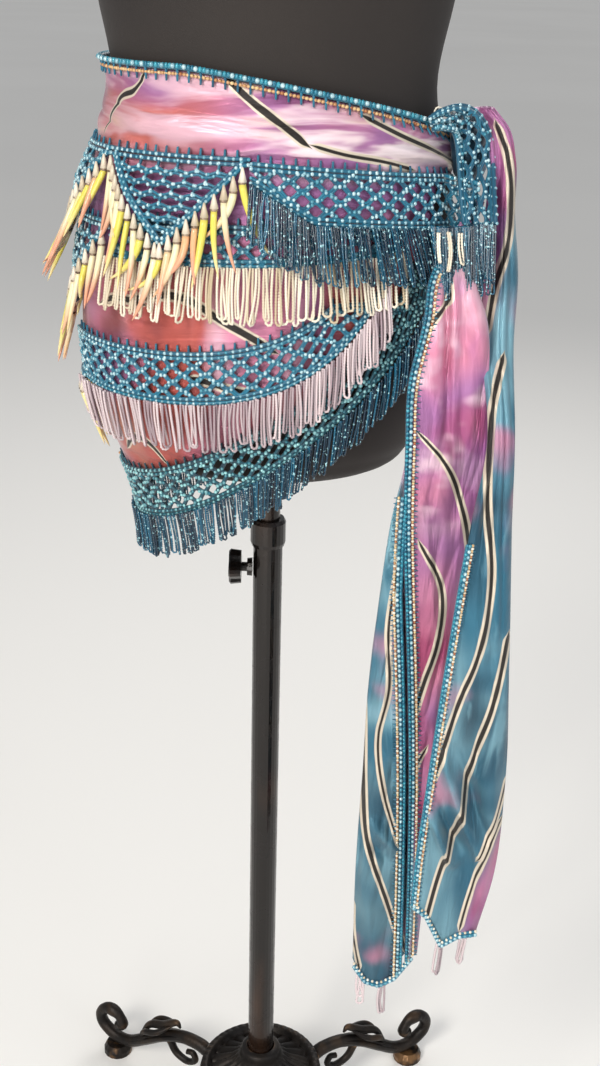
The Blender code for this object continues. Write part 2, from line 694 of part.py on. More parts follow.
def build_stand():
    tube = ((TUBE_BORE, TUBE_TOP), (TUBE_OUTER, TUBE_TOP), (TUBE_OUTER, 0.040), (TUBE_BORE, 0.040))
    turned("outer_tube", "painted_iron", tube, 24)
    collar = (
        (TUBE_BORE, COLLAR_TOP),
        (0.0135, COLLAR_TOP),
        (COLLAR_RADIUS, COLLAR_TOP - 0.003),
        (COLLAR_RADIUS, TUBE_TOP + 0.004),
        (0.0138, TUBE_TOP + SEAM),
        (TUBE_BORE, TUBE_TOP + SEAM),
    )
    turned("tube_collar", "painted_iron", collar, 24)
    post_top = WAIST + FORM_SECTIONS[0][0] - 2 * SEAM
    post = ((0.0, post_top), (POST_RADIUS, post_top), (POST_RADIUS, POST_LOW), (0.0, POST_LOW))
    turned("inner_tube", "painted_iron", post, 24)
    hub = (
        (0.0129, 0.098),
        (0.019, 0.096),
        (0.021, 0.086),
        (0.030, HUB_TOP),
        (0.050, 0.068),
        (0.054, 0.073),
        (HUB_RADIUS, 0.071),
        (0.062, 0.062),
        (0.049, 0.044),
        (0.030, 0.036),
        (0.0129, 0.036),
    )
    turned("base_hub", "cast_iron", hub, 32)
    for side, bearing in LEG_BEARINGS:
        angle = math.radians(bearing)
        facing = Vector((math.sin(angle), -math.cos(angle), 0))
        route = smooth_route([facing * reach + Vector((0, 0, height)) for reach, height in LEG_LINE], 2)
        bar(f"base_leg_{side}", "cast_iron", route, LEG_BAR)
        foot = (
            (0.0, FOOT_HEIGHT),
            (FOOT_RADIUS * 0.8, FOOT_HEIGHT),
            (FOOT_RADIUS, FOOT_HEIGHT / 2),
            (FOOT_RADIUS, 0.0),
            (0.0, 0.0),
        )
        turned(f"base_foot_{side}", "cast_iron", foot, 16, centre=facing * LEG_REACH)


def smooth_route(points, between):
    """Points on a smooth curve through the given ones, with this many steps between each two."""
    ends = [2 * points[0] - points[1]] + points + [2 * points[-1] - points[-2]]
    route = []
    for a, b, c, d in zip(ends, ends[1:], ends[2:], ends[3:]):
        for step in range(between):
            t = step / between
            bend = (2 * a - 5 * b + 4 * c - d) * t**2 + (3 * b - a - 3 * c + d) * t**3
            route.append(0.5 * (2 * b + (c - a) * t + bend))
    return route + [points[-1]]


def build_clamp():
    """The height clamp: a boss on the tube, and a four-lobed knob on its screw."""
    boss = ((0.0046, 0.0175), (0.0075, 0.0175), (0.0080, 0.0131), (0.0046, 0.0131))
    turned("clamp_boss", "painted_iron", boss, 16, centre=(0, 0, CLAMP_HEIGHT), axis="X")
    # reach along the screw, radius, depth of the four lobes
    rings = (
        (0.0129, 0.0040, 0),
        (0.0220, 0.0040, 0),
        (0.0225, 0.0130, 0.16),
        (0.0315, 0.0140, 0.16),
        (0.0330, 0.0125, 0.16),
    )
    turns = np.linspace(0, 2 * math.pi, KNOB_SIDES, endpoint=False)
    solid = []
    for reach, radius, lobes in rings:
        radii = radius * (1 + lobes * np.cos(4 * turns))
        around = zip(radii * np.cos(turns), radii * np.sin(turns))
        solid.append([Vector((-reach, y, CLAMP_HEIGHT + z)) for y, z in around])
    lofted("clamp_knob", "painted_iron", KNOB_SIDES, solid)


def lofted(name, finish, count, rings):
    """A closed solid through rings of the same number of points, with flat ends."""
    bm = bmesh.new()
    made = [[bm.verts.new(point) for point in ring] for ring in rings]
    for lower, upper in zip(made, made[1:]):
        for i in range(count):
            after = (i + 1) % count
            bm.faces.new((lower[i], lower[after], upper[after], upper[i]))
    bm.faces.new(made[0][::-1])
    bm.faces.new(made[-1])
    bmesh.ops.recalc_face_normals(bm, faces=bm.faces)
    return object_from(bm, name, finish)


def rest_on_footprint():
    """Moves the part so that the middle of its bounding box's underside is the origin."""
    bpy.context.view_layer.update()
    graph = bpy.context.evaluated_depsgraph_get()
    low, high = np.full(3, np.inf), np.full(3, -np.inf)
    for thing in PART.objects:
        evaluated = thing.evaluated_get(graph)
        mesh = evaluated.to_mesh()
        corners = np.array([evaluated.matrix_world @ vertex.co for vertex in mesh.vertices])
        low, high = np.minimum(low, corners.min(0)), np.maximum(high, corners.max(0))
        evaluated.to_mesh_clear()
    shift = Vector((-(low[0] + high[0]) / 2, -(low[1] + high[1]) / 2, -low[2]))
    for thing in PART.objects:
        thing.location += shift


clear_scene()
PART = bpy.data.collections.new("Hip belt on a dress form")
bpy.context.scene.collection.children.link(PART)
MATERIALS = {
    "satin": material("satin", (0.62, 0.30, 0.50), 0.32),
    "net": material("net", (0.02, 0.27, 0.36), 0.35),
    "dark_beads": material("dark_beads", (0.015, 0.10, 0.16), 0.20),
    "cream_beads": material("cream_beads", (0.74, 0.68, 0.52), 0.30),
    "lilac_beads": material("lilac_beads", (0.70, 0.58, 0.66), 0.30),
    "charm": material("charm", (0.86, 0.70, 0.24), 0.28),
    "jersey": material("jersey", (0.035, 0.029, 0.027), 0.80),
    "painted_iron": material("painted_iron", (0.02, 0.019, 0.018), 0.30, 0.6),
    "cast_iron": material("cast_iron", (0.03, 0.025, 0.02), 0.38, 0.7),
}
build_form()
build_stand()
build_clamp()
build_belt()
build_knot()
build_knot_net()
build_tails()
rest_on_footprint()
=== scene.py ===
# %% [markdown]
# # A beaded hip belt on its dress form
#
# The belt is a satin wrap with tiers of beaded crochet net, loop fringes and horn-shaped charms, tied
# in a knot at one hip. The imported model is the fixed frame: it says where each thing is and what it
# moves with. This lesson gives every soft solid the cloth, beads and loops of the real one.

# %% Load the frame
import math

import bpy
import numpy as np
from mathutils import Euler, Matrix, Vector


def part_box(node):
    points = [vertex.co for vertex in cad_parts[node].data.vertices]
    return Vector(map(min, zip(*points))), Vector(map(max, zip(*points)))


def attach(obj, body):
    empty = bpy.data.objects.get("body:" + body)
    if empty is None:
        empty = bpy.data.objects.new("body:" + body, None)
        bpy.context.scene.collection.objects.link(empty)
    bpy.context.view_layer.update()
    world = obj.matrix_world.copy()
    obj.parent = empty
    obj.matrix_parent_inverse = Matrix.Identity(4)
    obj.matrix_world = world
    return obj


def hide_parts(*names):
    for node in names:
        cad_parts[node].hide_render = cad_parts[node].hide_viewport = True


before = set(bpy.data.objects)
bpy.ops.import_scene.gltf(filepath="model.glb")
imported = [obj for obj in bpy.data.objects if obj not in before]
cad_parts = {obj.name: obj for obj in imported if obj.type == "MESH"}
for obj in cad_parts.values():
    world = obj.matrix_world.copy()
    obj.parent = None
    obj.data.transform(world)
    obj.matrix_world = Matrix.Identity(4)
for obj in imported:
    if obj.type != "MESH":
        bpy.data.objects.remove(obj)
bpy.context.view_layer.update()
bpy.ops.object.select_all(action="DESELECT")
tube_low, tube_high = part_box("outer_tube")
AXIS = (tube_low + tube_high) / 2

# %% [markdown]
# ## Camera, floor and light
#
# The belt is seen from a little above the waist, with the camera tipped down so that the base still
# shows. A pale floor and large soft lights let the satin shine without hard spots.

# %% Camera
CAMERA_ASIDE, CAMERA_BACK, CAMERA_HEIGHT = 0.027, 1.085, 1.117
TIPPED, LEANING, LENS = math.radians(67), math.radians(1.4), 46.94


def in_scene(name, data, place=(0, 0, 0)):
    """A new object, linked to the scene at its place."""
    made = bpy.data.objects.new(name, data)
    made.location = place
    bpy.context.scene.collection.objects.link(made)
    return made


place = (AXIS.x + CAMERA_ASIDE, AXIS.y - CAMERA_BACK, CAMERA_HEIGHT)
camera = in_scene("camera", bpy.data.cameras.new("camera"), place)
camera.rotation_euler = (Euler((TIPPED, 0, 0)).to_matrix() @ Euler((0, 0, LEANING)).to_matrix()).to_euler()
camera.data.lens = LENS
bpy.context.scene.camera = camera

# %% Floor and lights
bpy.ops.mesh.primitive_plane_add(size=80)
floor = bpy.context.object
floor.name = "floor"
# name, place, size, power, colour
LIGHTS = (
    ("key", (-1.2, -1.9, 2.2), 0.9, 49, (1.0, 0.95, 0.88)),
    ("sheen", (-0.8, -2.1, 0.7), 0.8, 14, (1.0, 0.98, 0.95)),
    ("fill", (1.9, -1.5, 1.5), 1.6, 15, (0.95, 0.97, 1.0)),
    ("back", (0.7, 2.0, 2.3), 1.4, 22, (1.0, 0.97, 0.94)),
)
BELT_MIDDLE = Vector((0, 0, 0.95))
for name, place, size, power, colour in LIGHTS:
    light = in_scene(name, bpy.data.lights.new(name, "AREA"), place)
    light.data.size, light.data.energy, light.data.color = size, power, colour
    light.rotation_euler = (BELT_MIDDLE - light.location).to_track_quat("-Z", "Y").to_euler()
overhead = in_scene("overhead", bpy.data.lights.new("overhead", "SUN"))
overhead.data.energy, overhead.data.angle = 0.45, math.radians(120)
bpy.context.scene.world = bpy.data.worlds.new("studio")
bpy.context.scene.world.use_nodes = True
sky = bpy.context.scene.world.node_tree.nodes["Background"].inputs
sky["Color"].default_value, sky["Strength"].default_value = (0.82, 0.83, 0.85, 1), 0.42
bpy.context.scene.view_settings.view_transform = "Standard"
print("camera, floor and", len(LIGHTS), "lights")

# %% [markdown]
# ## The shape of the form and the cloth
#
# A dress form is drawn as level sections. Each row gives a height from the waist, the half width, and
# the depth in front and behind. A smooth curve through the rows gives every height between. The cloth
# lies on the same sections, a little further out, and hangs inwards below the hips.

# %% Sections
WAIST = 1.020
POLE = np.array((AXIS.x, AXIS.y, WAIST))
EASE, CLOTH, NET_GAP = 0.0024, 0.0020, 0.0013


def millimetres(*rows):
    """A table of millimetres, in metres."""
    return np.array(rows) / 1000


FORM = millimetres(
    (-300, 70, 50, 58), (-292, 96, 70, 81), (-275, 115, 84, 96), (-250, 130, 94, 108), (-220, 141, 101, 116),
    (-160, 145, 102, 116), (-100, 140, 98, 106), (-50, 131, 92, 93), (0, 121, 88, 84), (60, 130, 91, 88),
    (120, 141, 99, 95), (200, 151, 121, 102), (260, 155, 122, 106), (330, 163, 101, 107), (375, 168, 83, 98),
    (405, 158, 71, 86), (428, 122, 62, 72), (452, 76, 54, 58), (480, 56, 51, 53), (540, 53, 50, 51),
)
HANGING = millimetres((-420, 98, 71, 83), (-340, 104, 76, 88), (-300, 115, 86, 97), (-260, 131, 96, 109))
HIP_END = -0.225
LAID = np.vstack([HANGING, FORM[FORM[:, 0] > HIP_END] + (0, EASE, EASE, EASE)])


def along(table, column, at):
    """A table's column at these heights, on a smooth curve through its rows."""
    x, y = table[:, 0], table[:, column]
    slopes = np.gradient(y, x)
    at = np.clip(at, x[0], x[-1])
    i = np.clip(np.searchsorted(x, at) - 1, 0, len(x) - 2)
    step = x[i + 1] - x[i]
    t = (at - x[i]) / step
    start = (1 + 2 * t) * (1 - t) ** 2 * y[i] + t * (1 - t) ** 2 * step * slopes[i]
    return start + t * t * (3 - 2 * t) * y[i + 1] + t * t * (t - 1) * step * slopes[i + 1]


def depth_at(table, in_front, height):
    return np.where(in_front, along(table, 2, height), along(table, 3, height))


def round_form(table, bearing, height, out):
    """Places on the table's sections. A bearing is in degrees: 0 is the front, 90 the knot's side."""
    bearing, height, out = np.broadcast_arrays(bearing, height, out)
    angle = np.radians(bearing)
    x = (along(table, 1, height) + out) * np.sin(angle)
    y = (depth_at(table, np.cos(angle) > 0, height) + out) * np.cos(angle)
    return np.stack([AXIS.x + x, AXIS.y - y, WAIST + height], -1)


print("sections", len(FORM), "of the form,", len(LAID), "of the cloth")

# %% [markdown]
# ## The belt's lines
#
# The wrap's deep point hangs at one hip, at bearing -90, and its ends run up to the knot at +90. Every
# line is the same on both sides of that point. The band's pulled folds close up towards the knot.

# %% Lines
CENTRE, TIE_ENDS = -90.0, 169.0
FIRST, LAST = CENTRE - TIE_ENDS, CENTRE + TIE_ENDS


def away(bearing):
    """Degrees from the belt's centre line, the same on both sides of it."""
    return np.abs((np.asarray(bearing, float) - CENTRE + 180) % 360 - 180)


def hem(bearing):
    return np.minimum(-0.299 + 0.128 * (away(bearing) / 120) ** 2.6, -0.066)


def band_low(bearing):
    return -0.042 - 0.018 * (np.maximum(0, away(bearing) - 60) / 105) ** 1.3


def top_edge(bearing, rise=0.0):
    """The belt's top edge, or a line this far above it."""
    return 0.014 - 0.040 * (np.maximum(0, away(bearing) - 60) / 97) ** 1.3 + rise


def fold(bearing, height):
    low, high = band_low(bearing), top_edge(bearing)
    rise = np.clip((height - low) / (high - low), 0, 1)
    pull = np.minimum(away(bearing) / TIE_ENDS, 1)
    waves = 0.5 - 0.5 * np.cos((rise * (1.5 + pull) + np.radians(bearing) * 0.55) * 2 * math.pi)
    return (0.0010 + 0.0045 * pull**2) * waves * np.sin(math.pi * rise)


def on_cloth(bearing, height, out):
    return round_form(LAID, bearing, height, out + fold(bearing, height))


def tier_lines(tier, bearing):
    """The heights of a tier's top and bottom."""
    turn = away(bearing)
    if tier == 1:
        top = band_low(bearing)
        return top, top - 0.037 * np.minimum(1, 0.35 + 0.65 * np.maximum(0, turn - 85) / 17)
    if tier == 2:
        return np.minimum(-0.088, band_low(bearing) - 0.0385), -0.117 + 0.012 * (turn / 130) ** 4
    if tier == 3:
        low = -0.2215 + 0.066 * (turn / 117) ** 6
        return np.minimum(low + 0.038, -0.142), low
    return hem(bearing) + 0.004, hem(bearing) - 0.036


def lengths_along(points):
    """The length of a line up to each of its points."""
    return np.concatenate([[0], np.cumsum(np.linalg.norm(np.diff(points, axis=0), axis=1))])


def measured(start, end, line):
    """Bearings from start to end and the length up to each, along a line of heights."""
    bearings = np.linspace(start, end, 241)
    return bearings, lengths_along(on_cloth(bearings, line(bearings), CLOTH))


print("round the top edge:", round(measured(FIRST, LAST, top_edge)[1][-1], 3), "m")

# %% [markdown]
# ## Making meshes
#
# Three helpers make nearly all of the belt. A sheet is a grid whose points are sent to their places.
# A cord is a closed tube along a line, and its radius may swell to each bead. A small model, such as a
# bead, is made once and then set down many times in one mesh. Cords and small models carry two
# attributes for their materials: how far along they are, and a tone of their own.

# %% Sheets
chance = np.random.default_rng(7)


def numbers(items, key, width, kind=float):
    """A value of every point, face corner or map corner, as the rows of an array."""
    flat = np.empty(len(items) * width, dtype=kind)
    items.foreach_get(key, flat)
    return flat.reshape(-1, width)


def grid_piece(columns, rows, place):
    """A grid of faces. place takes two arrays of numbers from 0 to 1 and gives points."""
    bpy.ops.mesh.primitive_grid_add(x_subdivisions=columns, y_subdivisions=rows, size=1)
    piece = bpy.context.object
    flat = numbers(piece.data.vertices, "co", 3) + 0.5
    piece.data.vertices.foreach_set("co", place(flat[:, 0], flat[:, 1]).ravel())
    piece.data.update()
    piece.data.shade_smooth()
    return piece


def mesh_piece(points, faces, far, tone):
    """An object from arrays, with the attributes that its material reads."""
    mesh = bpy.data.meshes.new("part")
    mesh.from_pydata(points.tolist(), [], faces)
    for key, values in (("far", far), ("tone", tone)):
        mesh.attributes.new(key, "FLOAT", "POINT").data.foreach_set("value", values.astype(np.float32))
    mesh.shade_smooth()
    return in_scene("part", mesh)


# %% Cords
def outwards(line):
    """Level directions away from the pole."""
    flat = (line - POLE) * (1, 1, 0)
    return flat / np.linalg.norm(flat, axis=1, keepdims=True)


def cords(lines, radii, finish, sides=6, facing=None):
    """Closed tubes along lines, in one mesh. radii holds a radius or an array for each line."""
    turn = np.linspace(0, 2 * math.pi, sides, endpoint=False)
    points, faces, far, tone, first = [], [], [], [], 0
    for k, line in enumerate(lines):
        count = len(line)
        ahead = np.gradient(line, axis=0)
        ahead /= np.linalg.norm(ahead, axis=1, keepdims=True)
        side = np.cross(ahead, outwards(line) if facing is None else np.broadcast_to(facing[k], line.shape))
        side /= np.linalg.norm(side, axis=1, keepdims=True) + 1e-9
        radius = np.broadcast_to(radii[k], count)[:, None, None]
        ring = np.cos(turn)[:, None] * side[:, None] + np.sin(turn)[:, None] * np.cross(side, ahead)[:, None]
        points.append((line[:, None] + radius * ring).reshape(-1, 3))
        i, j = np.meshgrid(np.arange(count - 1) * sides + first, np.arange(sides), indexing="ij")
        after = (j + 1) % sides
        faces += np.stack([i + j, i + sides + j, i + sides + after, i + after], -1).reshape(-1, 4).tolist()
        last = first + (count - 1) * sides
        faces += [list(range(first, first + sides)), list(range(last + sides - 1, last - 1, -1))]
        far.append(np.repeat(np.linspace(0, 1, count), sides))
        tone.append(np.full(count * sides, chance.random()))
        first += count * sides
    return mesh_piece(np.vstack(points), faces, np.concatenate(far), np.concatenate(tone)), finish


# %% Small models, set down many times
def taken():
    """The points and faces of the model just made, which is then put away."""
    model = bpy.context.object
    points = np.array([vertex.co for vertex in model.data.vertices])
    faces = [list(face.vertices) for face in model.data.polygons]
    bpy.data.objects.remove(model)
    return points, faces


bpy.ops.mesh.primitive_uv_sphere_add(segments=7, ring_count=5, radius=1)
BEAD = taken()
bpy.ops.mesh.primitive_cone_add(vertices=9, radius1=1, radius2=0.22, depth=2)
CAP = taken()


def beads(places, sizes, finish, model=BEAD):
    """Copies of a model at places, in one mesh. A size is a radius, or a tuple of three of them."""
    points, faces = model
    sizes = sizes if isinstance(sizes, tuple) else np.reshape(sizes, (-1, 1))
    copies = places[:, None] + np.broadcast_to(sizes, (len(places), 3))[:, None] * points
    placed = [[corner + k * len(points) for corner in face] for k in range(len(places)) for face in faces]
    tone = np.repeat(chance.random(len(places)), len(points))
    far = np.tile((points[:, 2] + 1) / 2, len(places))
    return mesh_piece(copies.reshape(-1, 3), placed, far, tone), finish


def evenly(line, pitch):
    """Points at an even pitch along a line."""
    lengths = lengths_along(line)
    at = np.linspace(0, lengths[-1], max(2, round(lengths[-1] / pitch) + 1))
    return np.stack([np.interp(at, lengths, column) for column in line.T], -1)


def dress(name, parts, slot, *stands_for, body="form"):
    """Joins pairs of a piece and its finish, attaches it to its body and hides the solids it stands for. Its
    slot is not used.
    """
    bpy.ops.object.select_all(action="DESELECT")
    for part, finish in parts:
        part.data.materials.append(finish)
        part.select_set(True)
    piece = bpy.context.view_layer.objects.active = parts[0][0]
    if len(parts) > 1:
        bpy.ops.object.join()
    piece.name = piece.data.name = name
    bpy.ops.object.select_all(action="DESELECT")
    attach(piece, body)
    if stands_for:
        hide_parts(*stands_for)
    print(f"{name}: {len(piece.data.polygons)} faces")
    return piece


print("bead model", len(BEAD[0]), "points; cap model", len(CAP[0]), "points")

# %% [markdown]
# ## Finishes
#
# Satin, pearl beads, glass seed beads, polished horn, jersey, enamel and cast iron each get a material.
# What several of them share is a shader node group: the printed stripe, the tone that each bead has of
# its own, and the fine grain of woven satin. Colours, of dyes and of painted light, are given by their
# everyday numbers, 0 to 255.

# %% Node helpers
def tint(red, green, blue):
    parts = [part / 255 for part in (red, green, blue)]
    return (*[p / 12.92 if p <= 0.04045 else ((p + 0.055) / 1.055) ** 2.4 for p in parts], 1)


def feed(tree, inputs, values):
    """Links inputs to other nodes' outputs, and sets the others to plain values."""
    for key, value in values.items():
        if isinstance(value, bpy.types.NodeSocket):
            tree.links.new(value, inputs[key])
        else:
            inputs[key].default_value = value


def node(tree, kind, values, **settings):
    made = tree.nodes.new("ShaderNode" + kind)
    for key, value in settings.items():
        setattr(made, key, value)
    feed(tree, made.inputs, values)
    return made


def sums(tree, operation, *values):
    return node(tree, "Math", dict(enumerate(values)), operation=operation).outputs[0]


def times(tree, first, *others):
    for other in others:
        first = sums(tree, "MULTIPLY", first, other)
    return first


def mixed(tree, mask, *colours):
    first, second = (tint(*one) if isinstance(one, tuple) else one for one in colours)
    return node(tree, "Mix", {0: mask, 6: first, 7: second}, data_type="RGBA").outputs[2]


def layered(tree, ground, *rows):
    """The ground under one colour after another, dyes and painted light alike. A row is a colour, then the
    masks or shares where it takes.
    """
    for dye, *masks in rows:
        ground = mixed(tree, times(tree, *masks), ground, dye)
    return ground


def ramped(tree, value, low, high, to_low=0.0, to_high=1.0):
    """A value taken from one range to another, smoothly and without going past its ends."""
    ends = {"Value": value, "From Min": low, "From Max": high, "To Min": to_low, "To Max": to_high}
    return node(tree, "MapRange", ends, interpolation_type="SMOOTHSTEP").outputs[0]


def own_place(tree):
    """The object's own coordinates."""
    return node(tree, "TexCoord", {}).outputs["Object"]


def clouds(tree, scale, low, high, seed=0.0, stretch=(1, 1, 1)):
    """A soft cloudy mask on the object's own coordinates."""
    spread = node(tree, "Mapping", {"Vector": own_place(tree), "Scale": stretch}).outputs[0]
    look = {"Vector": spread, "Scale": scale, "Detail": 2.0, "W": seed}
    return ramped(tree, node(tree, "TexNoise", look, noise_dimensions="4D").outputs[0], low, high)


def group(name, inputs, outputs):
    """An empty node group with named sockets, its inputs and its output node's inputs."""
    tree = bpy.data.node_groups.new(name, "ShaderNodeTree")
    for labels, way in ((inputs, "INPUT"), (outputs, "OUTPUT")):
        for label in labels.split():
            kind = "NodeSocketColor" if label in ("First", "Second", "Colour") else "NodeSocketFloat"
            tree.interface.new_socket(label, in_out=way, socket_type=kind)
    given = tree.nodes.new("NodeGroupInput").outputs
    return tree, given, tree.nodes.new("NodeGroupOutput").inputs


def placed(tree, shared, values):
    """A shared group set down in a material with its own values."""
    made = tree.nodes.new("ShaderNodeGroup")
    made.node_tree = shared
    feed(tree, made.inputs, values)
    return made.outputs


def finish(name, **plain):
    """A new material, its node tree and its shader's inputs, with plain values set."""
    made = bpy.data.materials.new(name)
    made.use_nodes = True
    shader = made.node_tree.nodes["Principled BSDF"].inputs
    feed(made.node_tree, shader, {key.replace("_", " ").title(): value for key, value in plain.items()})
    return made, made.node_tree, shader


def raised(tree, height, strength, distance):
    """The normal of fine relief."""
    return node(tree, "Bump", {"Height": height, "Strength": strength, "Distance": distance}).outputs[0]


# %% The printed stripe: dark, with a pale line on each side
STRIPE, given, result = group("printed stripe", "Across Along Line Half From To", "Dark Pale")
PALE_EDGE, SOFT_EDGE, END_TAPER = 0.0019, 0.0004, 0.012


def between(first, second):
    return sums(STRIPE, "SUBTRACT", first, second)


far_off = sums(STRIPE, "ABSOLUTE", between(given["Across"], given["Line"]))
begun = ramped(STRIPE, between(given["Along"], given["From"]), 0.0, END_TAPER)
within = times(STRIPE, begun, ramped(STRIPE, between(given["To"], given["Along"]), 0.0, END_TAPER))
half = times(STRIPE, given["Half"], within)
inside = sums(STRIPE, "GREATER_THAN", within, 0.02)
for label, reach in (("Dark", half), ("Pale", sums(STRIPE, "MULTIPLY_ADD", within, PALE_EDGE, half))):
    shown = ramped(STRIPE, between(far_off, reach), -SOFT_EDGE, SOFT_EDGE, 1.0, 0.0)
    STRIPE.links.new(times(STRIPE, shown, inside), result[label])

# %% Each bead's own tone, and the grain of woven satin
TONES, given, result = group("tone of its own", "First Second Lean", "Colour")
own = node(TONES, "Attribute", {}, attribute_name="tone").outputs["Fac"]
lean = sums(TONES, "POWER", own, given["Lean"])
TONES.links.new(mixed(TONES, lean, given["First"], given["Second"]), result["Colour"])
GRAIN, given, result = group("satin grain", "Fineness", "Height")
look = {"Vector": own_place(GRAIN), "Scale": given["Fineness"]}
warp, weft = (node(GRAIN, "TexWave", look, bands_direction=way).outputs[1] for way in "XZ")
GRAIN.links.new(times(GRAIN, warp, weft), result["Height"])
print("groups:", [shared.name for shared in (STRIPE, TONES, GRAIN)])

# %% [markdown]
# Satin is dyed in clouds that run from rose and lilac to blue, and printed with long curved stripes. Painted
# shade darkens the hollows of its creases, and painted highlights lighten ridges and streaks.
# Each stripe's middle is a curve over the cloth's own map, so that it bends with the cloth. The map
# runs from 0 to 1: along the belt and up it on the wrap, across and down on the tails.

# %% Satin
INK, CREAM = (30, 23, 18), (224, 210, 190)
ROSE, LILAC, PLUM, MAGENTA = (204, 126, 156), (160, 104, 158), (106, 48, 94), (162, 62, 106)
CORAL, GOLD, PALE_ROSE, WINE = (180, 78, 58), (228, 182, 150), (232, 190, 206), (94, 32, 48)
BLUE, TEAL, PALE_BLUE = (38, 104, 130), (10, 60, 82), (128, 176, 192)
WRAP_LOW, WRAP_TALL, TAIL_WIDE, TAIL_LONG = -0.36, 0.40, 0.25, 0.78


def curve_through(tree, value, points):
    """A smooth curve of a value, both from 0 to 1, through these points."""
    made = node(tree, "FloatCurve", {"Value": value})
    drawn = made.mapping.curves[0].points
    drawn[0].location, drawn[1].location = points[0], points[-1]
    for place in np.linspace(points[0][0], points[-1][0], 4 * len(points))[1:-1]:
        drawn.new(place, along(np.array(points), 1, place))
    made.mapping.update()
    return made.outputs[0]


def striped(tree, ground, along_map, across_map, size, rows):
    """The ground colour with printed stripes. A row is half the width, then (along, across) places."""
    shared = {"Across": times(tree, across_map, size), "Along": along_map}
    shown = {"Dark": 0.0, "Pale": 0.0}
    for half_width, *points in rows:
        line = times(tree, curve_through(tree, along_map, points), size)
        own = {"Line": line, "Half": half_width, "From": points[0][0], "To": points[-1][0]}
        stripe = placed(tree, STRIPE, shared | own)
        for label in shown:
            shown[label] = sums(tree, "MAXIMUM", stripe[label], shown[label])
    return mixed(tree, shown["Dark"], mixed(tree, shown["Pale"], ground, CREAM), INK)


def satin(name, creases):
    """Satin's shine, grain and fine creases; its map; and the rose that all of it shares, with painted plum
    shade in the creases' hollows.
    """
    shine = {"roughness": 0.27, "metallic": 0.42, "sheen_weight": 0.15, "coat_weight": 0.15}
    made, tree, shader = finish(name, coat_roughness=0.3, **shine)
    flat_map = node(tree, "UVMap", {}, uv_map="print").outputs[0]
    spread = {"Vector": flat_map, "Rotation": (0, 0, creases[0]), "Scale": (*creases[1:], 1)}
    turned = node(tree, "Mapping", spread).outputs[0]
    look = {"Vector": turned, "Scale": 1.0, "Detail": 3.0, "Distortion": 0.6}
    crease = node(tree, "TexNoise", look).outputs[0]
    rose = layered(
        tree, ROSE, (LILAC, clouds(tree, 9, 0.42, 0.62)),
        # painted shade: plum in the hollows of the fine creases
        (PLUM, ramped(tree, crease, 0.52, 0.34), clouds(tree, 9, 0.40, 0.60, 3.0), 0.75),
    )
    relief = sums(tree, "MULTIPLY_ADD", placed(tree, GRAIN, {"Fineness": 500.0})["Height"], 0.03, crease)
    feed(tree, shader, {"Normal": raised(tree, relief, 0.85, 0.006)})
    return made, tree, shader, node(tree, "SeparateXYZ", {0: flat_map}).outputs, rose, crease


# half the width in mm, then (bearing, height in mm) places on the wrap
WRAP_STRIPES = (
    (2.8, (-17, 16), (-6.5, -3), (3, -18), (13, -35)),
    (1.2, (11, -31), (22, -38), (36, -44), (50, -52)),
    (1.7, (28, -11), (44, -27), (60, -40), (79, -58)),
    (2.0, (-70, -40), (-65.5, -23), (-59, -8), (-50, 0), (-43, 18)),
    (2.8, (-43, -146), (-25, -141), (-11, -158), (4, -179)),
    (2.2, (-61, -158), (-53, -150), (-46, -148), (-36, -150)),
    (2.2, (-62, -276), (-54, -262), (-44, -261), (-36, -282)),
    (2.2, (-25, -200), (-17, -202), (-11, -206), (0, -211)),
    (3.2, (-171, -40), (-158, -20), (-144, 0), (-133, 16)),
    (3.0, (-219, -20), (-205, -12), (-192, -22), (-182, -40)),
    (2.8, (-149, -188), (-137, -160), (-119, -136), (-103, -138)),
    (2.6, (-130, -252), (-115, -228), (-99, -224), (-86, -244)),
)


def wrap_map(bearing, height):
    """A bearing and a height on the wrap as numbers on its map."""
    return (bearing - FIRST) / 360, (height - WRAP_LOW) / WRAP_TALL


SATIN_WRAP, tree, shader, belt_map, rose, crease = satin("satin of the wrap", (0.0, 9.0, 22.0))
belt_along, belt_up, _ = belt_map
on_band, low_down = ramped(tree, belt_up, 0.74, 0.82), ramped(tree, belt_up, 0.72, 0.52)
to_left, to_right = (
    ramped(tree, belt_along, wrap_map(start, 0)[0], wrap_map(end, 0)[0])
    for start, end in ((0, -36), (-12, 16))
)
ground = layered(
    tree, rose,
    ((200, 106, 98), clouds(tree, 8, 0.38, 0.56, 31.0, (1, 1, 2)), to_left, on_band),
    # painted highlight: pale rose on the ridges of the band's creases
    (PALE_ROSE, ramped(tree, crease, 0.40, 0.60), on_band, 0.85),
    # painted highlight: a gold sheen on the crease ridges, in clouds
    (GOLD, ramped(tree, crease, 0.47, 0.62), clouds(tree, 7, 0.38, 0.54, 5.0), on_band),
    # painted highlight: a near-white gleam on the ridges towards the right of the band
    ((246, 230, 236), ramped(tree, crease, 0.44, 0.56), clouds(tree, 8, 0.36, 0.50, 41.0, (1, 1, 2)),
     to_right, on_band),
    (CORAL, clouds(tree, 11, 0.36, 0.52, 8.0), low_down, 0.9),
    (WINE, clouds(tree, 26, 0.50, 0.66, 11.0, (1, 1, 0.4)), low_down, 0.6),
    ((206, 142, 112), clouds(tree, 16, 0.54, 0.66, 21.0), ramped(tree, belt_up, 0.36, 0.22)),
    # painted highlight: pale rose streaks down the drapes of the lower wrap
    (PALE_ROSE, clouds(tree, 34, 0.50, 0.74, 15.0, (1, 1, 0.14)), low_down, 0.75),
)
rows = [
    (half / 1000, *[wrap_map(bearing, height / 1000) for bearing, height in points])
    for half, *points in WRAP_STRIPES
]
feed(tree, shader, {"Base Color": striped(tree, ground, belt_along, belt_up, WRAP_TALL, rows)})


